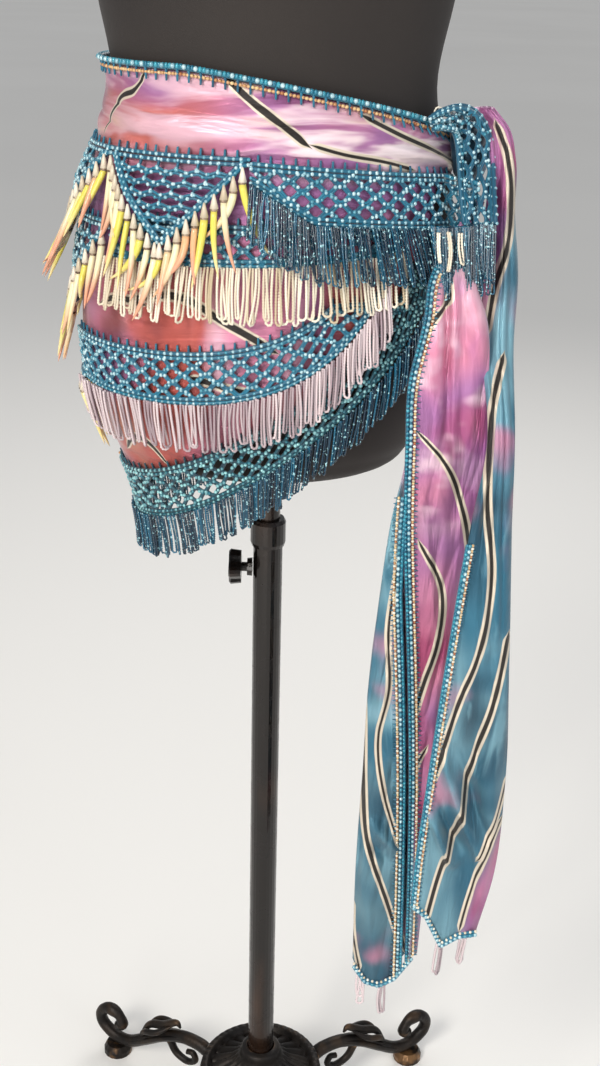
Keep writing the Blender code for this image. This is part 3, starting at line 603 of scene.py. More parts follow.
# %% Satin of the tails
def tail_satin(name, rose_side, rows, rose_foot=None):
    """Rose satin on one side of a line down the tail, and blue on the other, both with painted highlights
    and shade.
    """
    made, tree, shader, (across, down, _), rose, crease = satin(name, (0.5, 14.0, 9.0))
    long = (1, 1, 0.12)
    rose = layered(
        tree, rose, (MAGENTA, clouds(tree, 11, 0.50, 0.68, 2.0)),
        # painted highlight: long pale rose streaks down the tail
        (PALE_ROSE, clouds(tree, 30, 0.50, 0.68, 7.0, long), 0.75),
    )
    if rose_foot is None:
        upper = ramped(tree, down, 0.42, 0.33, 0.0, 0.75)
        aside = ramped(tree, across, 0.52, 0.57)
        rose = layered(
            # painted highlight: pale whitish patches on the upper part of the front tail
            tree, rose, ((238, 206, 220), clouds(tree, 24, 0.46, 0.64, 51.0, (1, 1, 1.6)), upper),
            # painted shade: violet towards the right of the upper front tail
            ((136, 74, 142), clouds(tree, 34, 0.44, 0.60, 57.0, (1, 1, 0.35)), aside, upper),
        )
    # painted highlights: pale streaks on the creases' ridges and along thin long clouds
    thin = clouds(tree, 30, 0.52, 0.68, 17.0, long)
    streak = sums(tree, "MAXIMUM", ramped(tree, crease, 0.54, 0.68), thin)
    blue = layered(
        tree, BLUE, (PALE_BLUE, clouds(tree, 12, 0.42, 0.64, 4.0)), (TEAL, clouds(tree, 9, 0.52, 0.70, 6.0)),
        # painted shade: teal deepening towards the foot; painted highlight: pale blue along the streaks
        (TEAL, ramped(tree, down, 0.55, 0.95), 0.6), (PALE_BLUE, streak, 0.6),
        (ROSE, clouds(tree, 14, 0.57, 0.70, 9.0), 0.7),
    )

    def past(line, soft):
        return ramped(tree, sums(tree, "SUBTRACT", across, curve_through(tree, down, line)), -0.02, soft)

    if rose_foot is None:
        ground = mixed(tree, past(rose_side, 0.02), blue, rose)
    else:
        ground = mixed(tree, past(rose_side, 0.02), rose, blue)
        ground = mixed(tree, past(rose_foot, 0.03), ground, rose)
    feed(tree, shader, {"Base Color": striped(tree, ground, down, across, TAIL_WIDE, rows)})
    return made


# (down, across) places on a tail's map; each row of stripes starts with half the width
SATIN_FRONT = tail_satin(
    "satin of the front tail",
    (
        (0.0, 0.20), (0.26, 0.30), (0.31, 0.400), (0.40, 0.414), (0.50, 0.44), (0.72, 0.50), (0.90, 0.56),
        (1.0, 0.60),
    ),
    (
        (0.0015, (0.29, 0.43), (0.32, 0.52), (0.37, 0.59), (0.43, 0.63)),
        (0.0014, (0.40, 0.46), (0.45, 0.54), (0.51, 0.545), (0.56, 0.51), (0.61, 0.48)),
        (0.0011, (0.63, 0.54), (0.66, 0.50), (0.70, 0.51)),
        (
            0.0018, (0.145, 0.508), (0.165, 0.52), (0.178, 0.518), (0.187, 0.494), (0.197, 0.471),
            (0.22, 0.435),
        ),
        (0.0010, (0.42, 0.415), (0.50, 0.39), (0.57, 0.40), (0.625, 0.375), (0.69, 0.40), (0.765, 0.47)),
        (0.0016, (0.50, 0.305), (0.60, 0.325), (0.68, 0.335), (0.75, 0.355), (0.83, 0.43), (0.92, 0.52)),
        (0.0009, (0.83, 0.318), (0.88, 0.325), (0.93, 0.355)),
    ),
)
SATIN_SIDE = tail_satin(
    "satin of the side tail",
    ((0.0, 0.74), (0.13, 0.69), (0.17, 0.665), (0.21, 0.64), (0.27, 0.50), (1.0, 0.40)),
    (
        (0.0016, (0.02, 0.64), (0.05, 0.68), (0.09, 0.70), (0.13, 0.695), (0.17, 0.66), (0.215, 0.635)),
        (
            0.0016, (0.22, 0.69), (0.27, 0.652), (0.34, 0.648), (0.43, 0.677), (0.50, 0.66), (0.57, 0.60),
            (0.66, 0.54),
        ),
        (0.0016, (0.48, 0.745), (0.56, 0.715), (0.64, 0.66), (0.71, 0.63), (0.76, 0.59), (0.83, 0.55)),
        (0.0008, (0.64, 0.785), (0.70, 0.75), (0.75, 0.70)),
        (0.0009, (0.69, 0.78), (0.75, 0.72), (0.80, 0.685), (0.84, 0.665)),
    ),
    ((0.0, 0.99), (0.62, 0.90), (0.72, 0.76), (0.80, 0.69), (0.90, 0.64)),
)
SATIN_KNOT, tree, shader, (around, *_), rose, crease = satin("satin of the knot", (0.5, 14.0, 9.0))
# painted shade: the knot's front, under the net, is dark teal; its other sides are blue and rose
painted_shade_teal = layered(tree, TEAL, ((6, 38, 58), clouds(tree, 30, 0.40, 0.60, 33.0)))
outer = layered(tree, BLUE, (rose, clouds(tree, 26, 0.42, 0.56, 27.0)))
in_front = times(tree, ramped(tree, around, 1.08, 1.14), ramped(tree, around, 1.25, 1.21))
feed(tree, shader, {"Base Color": mixed(tree, in_front, outer, painted_shade_teal)})
print("satins made")

# %% [markdown]
# Pearl beads are glossy and a little uneven in tone. Seed beads are glass and darker, with painted glints.
# Horn charms are cast resin that fades from yellow through cream to pink at the tip.


# %% Beads, threads and charms
def beaded(name, first, second, lean, roughness, **plain):
    made, tree, shader = finish(name, **plain)
    tones = placed(tree, TONES, {"First": tint(*first), "Second": tint(*second), "Lean": lean})["Colour"]
    uneven = sums(tree, "MULTIPLY_ADD", clouds(tree, 900, 0.3, 0.7), 0.12, roughness)
    feed(tree, shader, {"Base Color": tones, "Roughness": uneven})
    return made


LUSTRE = {"metallic": 0.15, "coat_weight": 0.5}
PEARL = beaded("pale pearl", (58, 140, 162), (192, 222, 228), 0.9, 0.15, **LUSTRE)
PEARL_TEAL = beaded("teal pearl", (14, 100, 128), (60, 158, 178), 1.0, 0.15, **LUSTRE)
PEARL_DARK = beaded("dark teal pearl", (30, 106, 124), (152, 208, 210), 1.0, 0.15, coat_weight=0.5)
IVORY = beaded("ivory seed", (190, 172, 140), (248, 240, 222), 0.6, 0.22, coat_weight=0.3)
MAUVE = beaded("mauve seed", (152, 132, 140), (224, 208, 210), 0.7, 0.22, coat_weight=0.3)
YARN = beaded("teal yarn", (4, 76, 104), (18, 112, 140), 1.0, 0.36, sheen_weight=0.2)
YARN_DARK = beaded("dark teal yarn", (3, 46, 62), (12, 78, 94), 1.0, 0.40, sheen_weight=0.2)
BRAID = beaded("gold braid", (172, 106, 68), (232, 202, 150), 1.0, 0.42, metallic=0.2)
JOINT = beaded("brown metal bead", (88, 66, 52), (172, 154, 134), 1.0, 0.28, metallic=0.5)
CONE = beaded("ivory cap", (198, 182, 156), (234, 224, 206), 1.0, 0.34, coat_weight=0.2)

GLASS, tree, shader = finish("dark glass seed", roughness=0.14, coat_weight=0.3)
own = placed(tree, TONES, {"First": tint(2, 34, 54), "Second": tint(26, 102, 132), "Lean": 1.8})["Colour"]
# painted highlight: scattered bright pale-blue glints on the seed beads
feed(tree, shader, {"Base Color": layered(tree, own, ((170, 218, 226), clouds(tree, 430, 0.60, 0.64)))})

HORN, tree, shader = finish("cast horn", roughness=0.22, coat_weight=0.4, subsurface_weight=0.06)
far, own = (node(tree, "Attribute", {}, attribute_name=key).outputs["Fac"] for key in ("far", "tone"))
tip = mixed(tree, ramped(tree, own, 0.3, 0.7), (238, 216, 156), (226, 160, 130))
near_tip = ramped(tree, sums(tree, "MULTIPLY_ADD", own, 0.3, far), 0.40, 1.0)
horn = layered(
    tree, (226, 212, 96), ((238, 228, 188), ramped(tree, own, 0.30, 0.46)),
    ((230, 178, 132), ramped(tree, own, 0.80, 0.90)), (tip, near_tip),
)
streaks = clouds(tree, 420, 0.3, 0.7, 0.0, (1, 1, 0.15))
feed(tree, shader, {"Base Color": horn, "Normal": raised(tree, streaks, 0.15, 0.0003)})

# %% Jersey, enamel and cast iron
JERSEY, tree, shader = finish("black jersey", roughness=0.82, sheen_weight=0.05)
knit = node(tree, "TexNoise", {"Vector": own_place(tree), "Scale": 900.0, "Detail": 1.0}).outputs[0]
black = mixed(tree, clouds(tree, 6, 0.3, 0.7), (30, 25, 24), (40, 34, 31))
feed(tree, shader, {"Base Color": black, "Normal": raised(tree, knit, 0.3, 0.0004)})

ENAMEL, tree, shader = finish("black enamel", metallic=0.55, coat_weight=0.4)
# painted highlight: coppery vertical streaks down the black enamel
coppery_highlight = mixed(tree, clouds(tree, 30, 0.5, 0.75, 0.0, (1, 1, 0.2)), (24, 19, 17), (66, 46, 34))
dull = ramped(tree, clouds(tree, 60, 0.3, 0.8), 0, 1, 0.18, 0.36)
feed(tree, shader, {"Base Color": coppery_highlight, "Roughness": dull})

IRON, tree, shader = finish("rubbed cast iron", metallic=0.6)
ridge = ramped(tree, node(tree, "NewGeometry", {}).outputs["Pointiness"], 0.53, 0.62)
rubbed = times(tree, ridge, clouds(tree, 60, 0.45, 0.65))
black = mixed(tree, clouds(tree, 40, 0.35, 0.7), (22, 19, 18), (38, 32, 27))
feed(tree, shader, {
    "Base Color": mixed(tree, rubbed, black, (150, 112, 74)),
    "Roughness": ramped(tree, rubbed, 0, 1, 0.46, 0.26),
    "Normal": raised(tree, clouds(tree, 350, 0.2, 0.8), 0.3, 0.0006),
})

PAPER, tree, shader = finish("pale floor", roughness=0.9)
paper = mixed(tree, clouds(tree, 0.4, 0.3, 0.7), (236, 235, 232), (240, 239, 236))
feed(tree, shader, {"Base Color": paper})
floor.data.materials.append(PAPER)
print("materials:", len(bpy.data.materials))

# %% [markdown]
# ## The dress form
#
# The form is one smooth padded skin under a knitted cover. A grid is wrapped round the pole's axis, its
# two edges are merged, and the ends are filled. A shallow seam runs down the centre back.


# %% Form
def close_up(piece):
    """Merges the points that meet, fills the open ends and points all faces outwards."""
    bpy.context.view_layer.objects.active = piece
    bpy.ops.object.mode_set(mode="EDIT")
    bpy.ops.mesh.select_all(action="SELECT")
    bpy.ops.mesh.remove_doubles(threshold=0.00001)
    bpy.ops.mesh.select_all(action="DESELECT")
    bpy.ops.mesh.select_non_manifold()
    bpy.ops.mesh.edge_face_add()
    bpy.ops.mesh.select_all(action="SELECT")
    bpy.ops.mesh.normals_make_consistent(inside=False)
    bpy.ops.object.mode_set(mode="OBJECT")
    piece.data.shade_smooth()
    return piece


BACK_SEAM_DEEP, BACK_SEAM_WIDE = 0.0005, 0.9


def form_place(around, up):
    bearing, row = around * 360, up * (len(FORM) - 1)
    height = np.interp(row, np.arange(len(FORM)), FORM[:, 0])
    seam = BACK_SEAM_DEEP * np.exp(-(((bearing - 180) / BACK_SEAM_WIDE) ** 2))
    return round_form(FORM, bearing, height, -seam)


form = close_up(grid_piece(144, 114, form_place))
form.data.set_sharp_from_angle(angle=math.radians(55))
form = dress("dress_form", [(form, JERSEY)], "jersey", "form_body")

# %% [markdown]
# ## The wrap
#
# The satin is pulled round the hips, so its creases run along the band and gather at the knot, and they
# fade into long soft waves below. A sum of slow waves gives creases that never quite repeat.


# %% Creases and the print's map
SATIN_THICK, PULLED, PLEATED, SLACK = 0.0009, 0.0026, 0.0035, 0.0006


def ripples(across, up, seed, count=6):
    """A soft wave of about -1 to 1 that doesn't repeat."""
    draw = np.random.default_rng(seed)
    total = 0.0
    for _ in range(count):
        a, b = draw.normal(size=2)
        total = total + np.sin(a * across + b * up + draw.uniform(0, 2 * math.pi))
    return total / math.sqrt(count)


def set_print(piece, to_print):
    """Fills the piece's map, now named print, from the grid's own numbers and the points' places."""
    layer = piece.data.uv_layers[0]
    layer.name = "print"
    corners = numbers(piece.data.loops, "vertex_index", 1, np.int32)[:, 0]
    made = to_print(numbers(layer.uv, "vector", 2), numbers(piece.data.vertices, "co", 3)[corners])
    layer.uv.foreach_set("vector", np.stack(made, -1).astype(np.float32).ravel())


def thicken(piece):
    """Gives a sheet of satin its thickness, and applies it."""
    wall = piece.modifiers.new("wall", "SOLIDIFY")
    wall.thickness, wall.offset = SATIN_THICK, 0.0
    bpy.context.view_layer.objects.active = piece
    bpy.ops.object.modifier_apply(modifier="wall")


def wrap_place(across, up):
    bearing = FIRST + (LAST - FIRST) * across
    low, middle, high = hem(bearing), band_low(bearing), top_edge(bearing)
    level = np.where(up < 0.5, low + (middle - low) * up * 2, middle + (high - middle) * (up * 2 - 1))
    rise = np.clip(up * 2 - 1, 0, 1)
    pulled = np.abs(ripples(bearing * 0.035, rise * 7, 21)) ** 0.8 * np.sin(math.pi * rise)
    pleats = np.abs(np.sin(rise * 3.3 * math.pi + bearing * 0.03)) ** 0.7 * np.sin(math.pi * rise)
    drawn = np.clip((away(bearing) - 110) / 50, 0, 1) ** 1.5
    slack = ripples(bearing * 0.22, level * 26, 5) * np.clip(1 - rise * 3, 0, 1)
    return on_cloth(bearing, level, SATIN_THICK + PULLED * pulled + PLEATED * pleats * drawn + SLACK * slack)


wrap = grid_piece(300, 84, wrap_place)
set_print(wrap, lambda grid, points: wrap_map(FIRST + (LAST - FIRST) * grid[:, 0], points[:, 2] - WAIST))
thicken(wrap)
wrap = dress("satin_wrap", [(wrap, SATIN_WRAP)], "satin", "wrap_cloth")

# %% [markdown]
# ## Edging and stitches
#
# The top edge is finished with a crocheted row of pearl beads over a gold braid, sewn on with upright
# blanket stitches. The same stitches hold each net's top to the satin.

# %% Rows of beads and blanket stitches
EDGE_OUT, TIE_PITCH, PEARL_LIFT = CLOTH + NET_GAP, 0.0087, 0.0009


def row_on_cloth(start, end, line, out, pitch=TIE_PITCH / 3):
    bearings = np.linspace(start, end, 700)
    return evenly(on_cloth(bearings, line(bearings), out), pitch)


def stitches(start, end, line, out, finish, length=0.0070, radii=(0.0012, 0.0008)):
    """Upright stitches that start on a line of heights and taper from one radius to the other."""
    bearings, lengths = measured(start, end, line)
    at = np.interp(np.arange(TIE_PITCH / 2, lengths[-1], TIE_PITCH), lengths, bearings)
    rise, taper = np.linspace(0, length, 5), np.linspace(*radii, 5)
    return cords([on_cloth(b, line(b) + rise, out) for b in at], [taper] * len(at), finish, 5)


ends = (FIRST + 1, LAST - 1)
turns = np.linspace(*ends, 500)
chain = on_cloth(turns, top_edge(turns, 0.0028), EDGE_OUT + 0.0006)
rail = row_on_cloth(*ends, lambda b: top_edge(b, 0.0034), EDGE_OUT + 0.0020)
braid = row_on_cloth(*ends, lambda b: top_edge(b, -0.0018), EDGE_OUT + 0.0006)
edging = [
    beads(rail, (0.0016, 0.0016, 0.0020), PEARL_TEAL),
    beads(rail[1::3] + PEARL_LIFT * outwards(rail)[1::3], 0.0018, PEARL),
    cords([chain], [0.0021], YARN),
    beads(braid, (0.0016, 0.0016, 0.0013), BRAID),
    stitches(*ends, lambda b: top_edge(b, -0.0068), EDGE_OUT + 0.0010, YARN, 0.0085, (0.0008, 0.0012)),
]
dress("crocheted_edging", edging, "net", "top_edging")

# %% [markdown]
# ## Nets
#
# A crocheted net is rows of thread arches that meet and part, with pearl beads strung all along them.
# Each row of gaps is half a gap aside from the next. Straight beaded rails close it above and below.

# %% Nets
NET_TALL, NET_PITCH = 0.038, 0.0174
RAIL, RAIL_PITCH, STRUNG, PEARL_SIZE = 0.0034, 0.0052, 0.0040, 0.0014
STRAND, RAIL_STRAND, APART, NET_LIFT, SEWN_BELOW = 0.0012, 0.0017, 0.0011, 0.0013, 0.001


def arches(width, rows=4):
    """Lines of thread arches, as (across, down) points. Neighbouring rows of arches touch."""
    step = (NET_TALL - 2 * RAIL) / (rows + 1)
    across = np.linspace(0, width, int(width / NET_PITCH * 12) + 1)
    wave = 0.5 - 0.5 * np.cos(2 * math.pi * across / NET_PITCH)
    lines = []
    for k in range(rows + 1):
        start, end = 2 * math.ceil(k / 2), 2 * (k // 2) + 1
        lines.append(np.stack([across, RAIL + step * (start + (end - start) * wave)], -1))
    return lines


def net_tall(across):
    return NET_TALL + 0 * across


def netted(place, width, tall, lines, finishes=(PEARL, YARN)):
    """A beaded net from its lines. tall gives the net's height at each place across."""
    across = np.linspace(0, width, int(width / 0.004) + 2)
    foot = tall(across)
    rails = [np.stack([across, down], -1) for down in (0 * across, RAIL + 0 * across, foot - RAIL, foot)]
    spots, tubes = [], []
    for line in lines:
        strung = evenly(line, STRUNG)
        strung[:, 1] += APART * np.where(np.arange(len(strung)) % 2, 1, -1)
        spots.append(strung[strung[:, 1] < tall(strung[:, 0]) - 1.6 * RAIL])
        for side in (-APART, APART):
            tubes.append(place(line[:, 0], np.minimum(line[:, 1] + side, tall(line[:, 0]))))
    radii = [STRAND] * len(tubes) + [RAIL_STRAND] * len(rails)
    spots = np.vstack(spots + [evenly(line, RAIL_PITCH) for line in rails])
    sizes = PEARL_SIZE * (0.9 + 0.2 * chance.random(len(spots)))
    on_top = place(*spots.T)
    return [
        beads(on_top + PEARL_LIFT * outwards(on_top), sizes, finishes[0]),
        cords(tubes + [place(*line.T) for line in rails], radii, finishes[1], 5),
    ]


# tier, inner end, outer end, loops, drop, out at the root and at the tip, loop's width, seed, finish
TIERS = (
    (1, -5.4, 71.0, 76, 0.039, 0.0060, 0.0164, 0.0028, 0.00086, "dark"),
    (2, -52.0, 40.0, 50, 0.039, 0.0060, 0.0090, 0.0050, 0.00122, "ivory"),
    (3, -80.0, 34.0, 70, 0.037, 0.0060, 0.0090, 0.0046, 0.00118, "mauve"),
    (4, -89.5, 50.0, 116, 0.036, 0.0060, 0.0066, 0.0032, 0.00094, "dark"),
)
HALVES = [
    (row, side, *span)
    for row in TIERS
    for side, span in (("front", row[1:3]), ("back", (2 * CENTRE - row[2], 2 * CENTRE - row[1])))
]


def net_half(tier, start, end):
    """Half a tier's net, sewn to the satin by its top."""
    bearings, lengths = measured(start, end, lambda b: tier_lines(tier, b)[0])

    def place(across, down):
        bearing = np.interp(across, lengths, bearings)
        return on_cloth(bearing, tier_lines(tier, bearing)[0] - down, EDGE_OUT + NET_LIFT)

    def tall(across):
        return np.subtract(*tier_lines(tier, np.interp(across, lengths, bearings)))

    finishes = (PEARL_DARK, YARN_DARK) if tier == 4 else (PEARL, YARN)
    net = netted(place, lengths[-1], tall, arches(lengths[-1]), finishes)
    sewn_at = (start, end, lambda b: tier_lines(tier, b)[0] - SEWN_BELOW, EDGE_OUT + 0.0002)
    return net + [stitches(*sewn_at, finishes[1])]


for row, side, start, end in HALVES:
    dress(f"beaded_net_{row[0]}_{side}", net_half(row[0], start, end), "net", f"net_{row[0]}_{side}")

# %% [markdown]
# Three netted points hang over the first tier, and a fourth below the middle one. Their arches are
# wider and flatter, with short bars between them, and doubled rows of beads edge both slanting sides.

# %% Netted points
# name, left, right, top, low, out at the low end
POINTS = (
    ("front", -56.4, -6.2, -0.042, -0.103, 0.0075),
    ("centre", -123.0, -57.0, -0.042, -0.103, 0.0075),
    ("back", -173.8, -123.6, -0.042, -0.103, 0.0075),
    ("lower", -127.0, -53.0, -0.094, -0.170, 0.0030),
)
POINT_PITCH, POINT_ROWS, POINT_TIP = 0.0150, 7, 0.0035


def point_place(row, across, down):
    """Across from 0 to 1 along a point's top, and down from 0 to 1 to its tip."""
    left, right, top, low, out_low = row[1:]
    bearings = np.linspace(left, right, 181)
    lengths = lengths_along(round_form(LAID, bearings, (top + low) / 2, 0))
    bearing = np.interp(across, lengths / lengths[-1], bearings)
    out = EDGE_OUT + out_low * np.minimum(1, down / 0.45)
    return on_cloth(bearing, top + (low - top) * down, out + NET_LIFT)


def point_net(row):
    left, right, top, low = row[1:5]
    tall = top - low
    wide = lengths_along(point_place(row, np.linspace(0, 1, 90), np.zeros(90)))[-1]

    def place(across, down):
        return point_place(row, across / wide, down / tall)

    def depth(across):
        return np.maximum(POINT_TIP, tall * (1 - np.abs(2 * across / wide - 1)))

    step = (tall - 2 * RAIL) / POINT_ROWS
    bar = np.linspace(0.1, 0.9, 4)
    bars = [
        np.stack([np.full(4, (i + k % 2 / 2) * POINT_PITCH), RAIL + step * (k + bar)], -1)
        for k in range(POINT_ROWS)
        for i in range(int(wide / POINT_PITCH) + 1)
    ]
    across = np.linspace(0, wide, int(wide / 0.004))
    wave = 0.14 * np.cos(2 * math.pi * across / POINT_PITCH)
    waves = [np.stack([across, RAIL + step * (k + (-1) ** k * wave)], -1) for k in range(1, POINT_ROWS)]
    sewn_at = (left, right, lambda b: top - SEWN_BELOW + 0 * b, EDGE_OUT + 0.0010)
    return netted(place, wide, depth, waves + bars) + [stitches(*sewn_at, YARN)]


for row in POINTS:
    dress(f"netted_point_{row[0]}", point_net(row), "net", f"point_{row[0]}")

# %% [markdown]
# ## Fringes
#
# Every fringe is a row of loops of seed beads. A loop goes down, turns, and comes back up to the same
# stitch, and each hangs at its own angle and length. The thread's radius swells to each bead.

# %% Loops of seed beads
SEED_PITCH, SWAY, BOW, TWIST = 0.0021, 0.0015, 0.0007, 1.1
LOOPS = {"dark": (GLASS, "dark_beads"), "ivory": (IVORY, "cream_beads"), "mauve": (MAUVE, "lilac_beads")}


def loop_line(length, half, parted):
    """One loop as (aside, down): two legs that part on their way down, and a round bottom."""
    down = np.linspace(0, length - half, 24)
    aside = parted + (half - parted) * (down / down[-1]) ** 0.8
    turn = np.linspace(0, math.pi / 2, 7)[1:]
    down = np.concatenate([down, length - half + half * np.sin(turn)])
    aside = np.concatenate([aside, half * np.cos(turn)])
    both = np.stack([np.concatenate([-aside, aside[-2::-1]]), np.concatenate([down, down[-2::-1]])], -1)
    return evenly(both, SEED_PITCH / 2)


def seed_loops(place, count, drop, wide, seed, finish, spread=(0.88, 1.06)):
    """Loops along a line. place(at, aside, down, out) gives points, with at from 0 to 1."""
    lines, radii = [], []
    for at in (np.arange(count) + 0.5) / count:
        length = drop * chance.uniform(*spread)
        half = wide / 2 * chance.uniform(0.65, 1.25)
        twist = chance.uniform(-TWIST, TWIST)
        sway, bow = chance.normal(0, SWAY), chance.normal(0, BOW)
        aside, down = loop_line(length, half, seed * 0.9).T
        share = down / length
        out = aside * math.sin(twist) + half * abs(math.sin(twist))
        aside = aside * math.cos(twist) + sway * share**2 + bow * np.sin(math.pi * share)
        lines.append(place(at + 0.15 * sway / wide / count, aside, down, out))
        radii.append(seed * np.where(np.arange(len(down)) % 2, 1.0, 0.6))
    return cords(lines, radii, finish)


def tier_fringe(row, start, end):
    """The loops under half a tier."""
    tier, _, _, count, drop, root_out, tip_out, wide, seed, kind = row
    bearings, lengths = measured(start, end, lambda b: tier_lines(tier, b)[1])

    def place(at, aside, down, out):
        foot = np.interp(at * lengths[-1], lengths, bearings)
        bearing = np.interp(at * lengths[-1] + aside, lengths, bearings)
        held = root_out + (tip_out - root_out) * np.clip(down / drop, 0, 1)
        return on_cloth(bearing, tier_lines(tier, foot)[1] - down, CLOTH + held + out)

    return seed_loops(place, count, drop, wide, seed, LOOPS[kind][0])


for row, side, start, end in HALVES:
    loops = tier_fringe(row, start, end)
    dress(f"loops_{row[0]}_{side}", [loops], LOOPS[row[-1]][1], f"fringe_{row[0]}_{side}")

# %% [markdown]
# ## Horn charms
#
# Along both sides of each point hang small curved horns, each under an ivory cone and a metal bead.

# %% Horn charms
# for each point, the charms on each side and how far their tips stand out
CHARMS = {"front": (10, 0.007), "centre": (10, 0.018), "back": (10, 0.007), "lower": (9, 0.009)}
CAP_TALL, HORN_THICK, HORN_USUAL, HORN_BEND, HORN_LEAN = 0.0050, 0.0028, 0.036, 0.0110, 0.0050
# how far below their roots the caps, beads and horns start, in caps' heights
CAP_DOWN, JOINT_DOWN, HORN_DOWN = 0.8, 1.98, 2.16
CHARM_OUT, CHARM_DOWN = 0.0036, 0.0015


def horns_from(roots, flare, long=(0.034, 0.050)):
    """Charms that hang from these places: a curved horn, a cap and a metal bead for each."""
    horns, radii, t = [], [], np.linspace(0, 1, 13)
    for root in roots:
        out = outwards(root[None])[0]
        side = np.array((-out[1], out[0], 0))
        length = chance.uniform(*long)
        bend, lean = chance.normal(0, HORN_BEND), chance.normal(0, HORN_LEAN)
        line = (lean * t + bend * t**2)[:, None] * side + (flare * t * length / HORN_USUAL)[:, None] * out
        line[:, 2] -= np.sqrt(1 - (bend / length) ** 2 * t) * length * t
        horns.append(root - (0, 0, HORN_DOWN * CAP_TALL) + line)
        thick = HORN_THICK * chance.uniform(0.85, 1.1) * (1 - t) ** 0.55
        radii.append(thick * (0.9 + 0.2 * np.sin(math.pi * t)) + 0.00012)
    low = np.array((0, 0, CAP_TALL))
    return [
        cords(horns, radii, HORN, 9, [outwards(horn[:1]) + (0, 0.001, 0) for horn in horns]),
        beads(roots - low * CAP_DOWN, (0.0032, 0.0032, CAP_TALL), CONE, CAP),
        beads(roots - low * JOINT_DOWN, (0.0031, 0.0031, 0.0017), JOINT),
    ]


for row in POINTS:
    count, flare = CHARMS[row[0]]
    shares = np.concatenate([np.linspace(0.03, 0.485, count), np.linspace(0.515, 0.97, count)])
    edge = point_place(row, shares, (1 - np.abs(2 * shares - 1)) * 0.97 + 0.01)
    horns = horns_from(edge + CHARM_OUT * outwards(edge) - (0, 0, CHARM_DOWN), flare)
    dress(f"horn_charms_{row[0]}", horns, "charm", f"charms_{row[0]}")

# %% The last charms, at the wrap's deepest place
seam = on_cloth(CENTRE, np.linspace(*tier_lines(4, CENTRE), 12), EDGE_OUT + 0.0030)
dress("net_seam", [beads(seam, (0.0019, 0.0019, 0.0015), BRAID)], "net")
bearings = CENTRE + np.array((-12.0, -8.0, -3.0, 2.0, 6.0, 9.5, 13.0))
roots = on_cloth(bearings, tier_lines(3, bearings)[1] - 0.003, EDGE_OUT + 0.0060)
dress("horn_charms_hip", horns_from(roots, -0.013, (0.044, 0.058)), "charm")
ends = (CENTRE - 15, CENTRE + 15)
swag = row_on_cloth(*ends, lambda b: tier_lines(3, b)[1] + 0.001, EDGE_OUT + 0.0040, 0.0030)
chains = cords([swag - (0, 0, 0.0016), swag + (0, 0, 0.0016)], [0.0014] * 2, YARN)
dress("swag_hip", [beads(swag, 0.0016, PEARL), chains], "net")

# %% [markdown]
# ## The knot
#
# The wrap's ends are tied at the hip. The knot is a rounded wad of satin whose turns of cloth show as
# creased ridges, and it never sinks into the cloth that it lies on.

# %% Knot
KNOT_CENTRE, KNOT_HALF = np.array((0.1434, -0.009, -0.042)), np.array((0.0190, 0.038, 0.031))
KNOT_OFF = 0.0075


def knot_place(around, up):
    turn, rise = around * 2 * math.pi, (up - 0.5) * math.pi
    x, y, z = ball = np.stack([np.cos(rise) * np.cos(turn), np.cos(rise) * np.sin(turn), np.sin(rise)])
    wound = np.arctan2(z, y)
    ridge = 1 + 0.08 * np.clip(y + 0.3, 0, 1) * np.sin(3 * wound + 2.2 * x)
    pleats = np.abs(np.sin(3.5 * wound + 3 * x + 0.6 * ripples(y * 3, z * 3, 4))) ** 0.6
    spot = (ball * (ridge - 0.12 * (1 - pleats))).T * KNOT_HALF + KNOT_CENTRE
    depth = depth_at(LAID, spot[:, 1] < 0, spot[:, 2]) + KNOT_OFF
    shell = along(LAID, 1, spot[:, 2]) + KNOT_OFF
    spot[:, 0] = np.maximum(spot[:, 0], shell * np.sqrt(np.maximum(0, 1 - (spot[:, 1] / depth) ** 2)))
    return spot + POLE


knot = grid_piece(96, 60, knot_place)
set_print(knot, lambda grid, points: (0.96 + 0.3 * grid[:, 0], 0.80 + 0.2 * grid[:, 1]))
knot = dress("satin_knot", [(close_up(knot), SATIN_KNOT)], "satin", "knot")

# %% [markdown]
# The first net is tied in with the cloth. Its end is drawn out to the knot, folded lengthways, goes over
# the knot and hangs down with its fringe. So it is the same net, sent to a narrow pleated place.


# %% The caught end of the net
def smoothed(points, between):
    """A smooth curve through points, with this many steps between each two."""
    ends = np.vstack([2 * points[0] - points[1], points, 2 * points[-1] - points[-2]])
    a, b, c, d = (part[:, None] for part in (ends[:-3], ends[1:-2], ends[2:-1], ends[3:]))
    t = np.linspace(0, 1, between, endpoint=False)[None, :, None]
    bend = (2 * a - 5 * b + 4 * c - d) * t**2 + (3 * b - a - 3 * c + d) * t**3
    curve = 0.5 * (2 * b + (c - a) * t + bend)
    return np.vstack([curve.reshape(-1, points.shape[1]), points[-1:]])


# x, y, height, half width
DRAPE = millimetres(
    (113, -54, -20, 4.5), (123, -52, -16.5, 7), (135, -46, -17, 10), (144, -43, -27, 12),
    (148, -44, -45, 12.5), (149.5, -58, -67, 12), (151, -72, -86, 11),
)
DRAPED = smoothed(DRAPE, 20)
OFF_KNOT, OFF_LINE, PLEAT_DEEP = 0.0010, 0.0016, 0.0050


def knot_front(x, height):
    off = ((x - KNOT_CENTRE[0]) / KNOT_HALF[0]) ** 2 + ((height - KNOT_CENTRE[2]) / KNOT_HALF[2]) ** 2
    return KNOT_CENTRE[1] - KNOT_HALF[1] * np.sqrt(np.maximum(0, 1 - off))


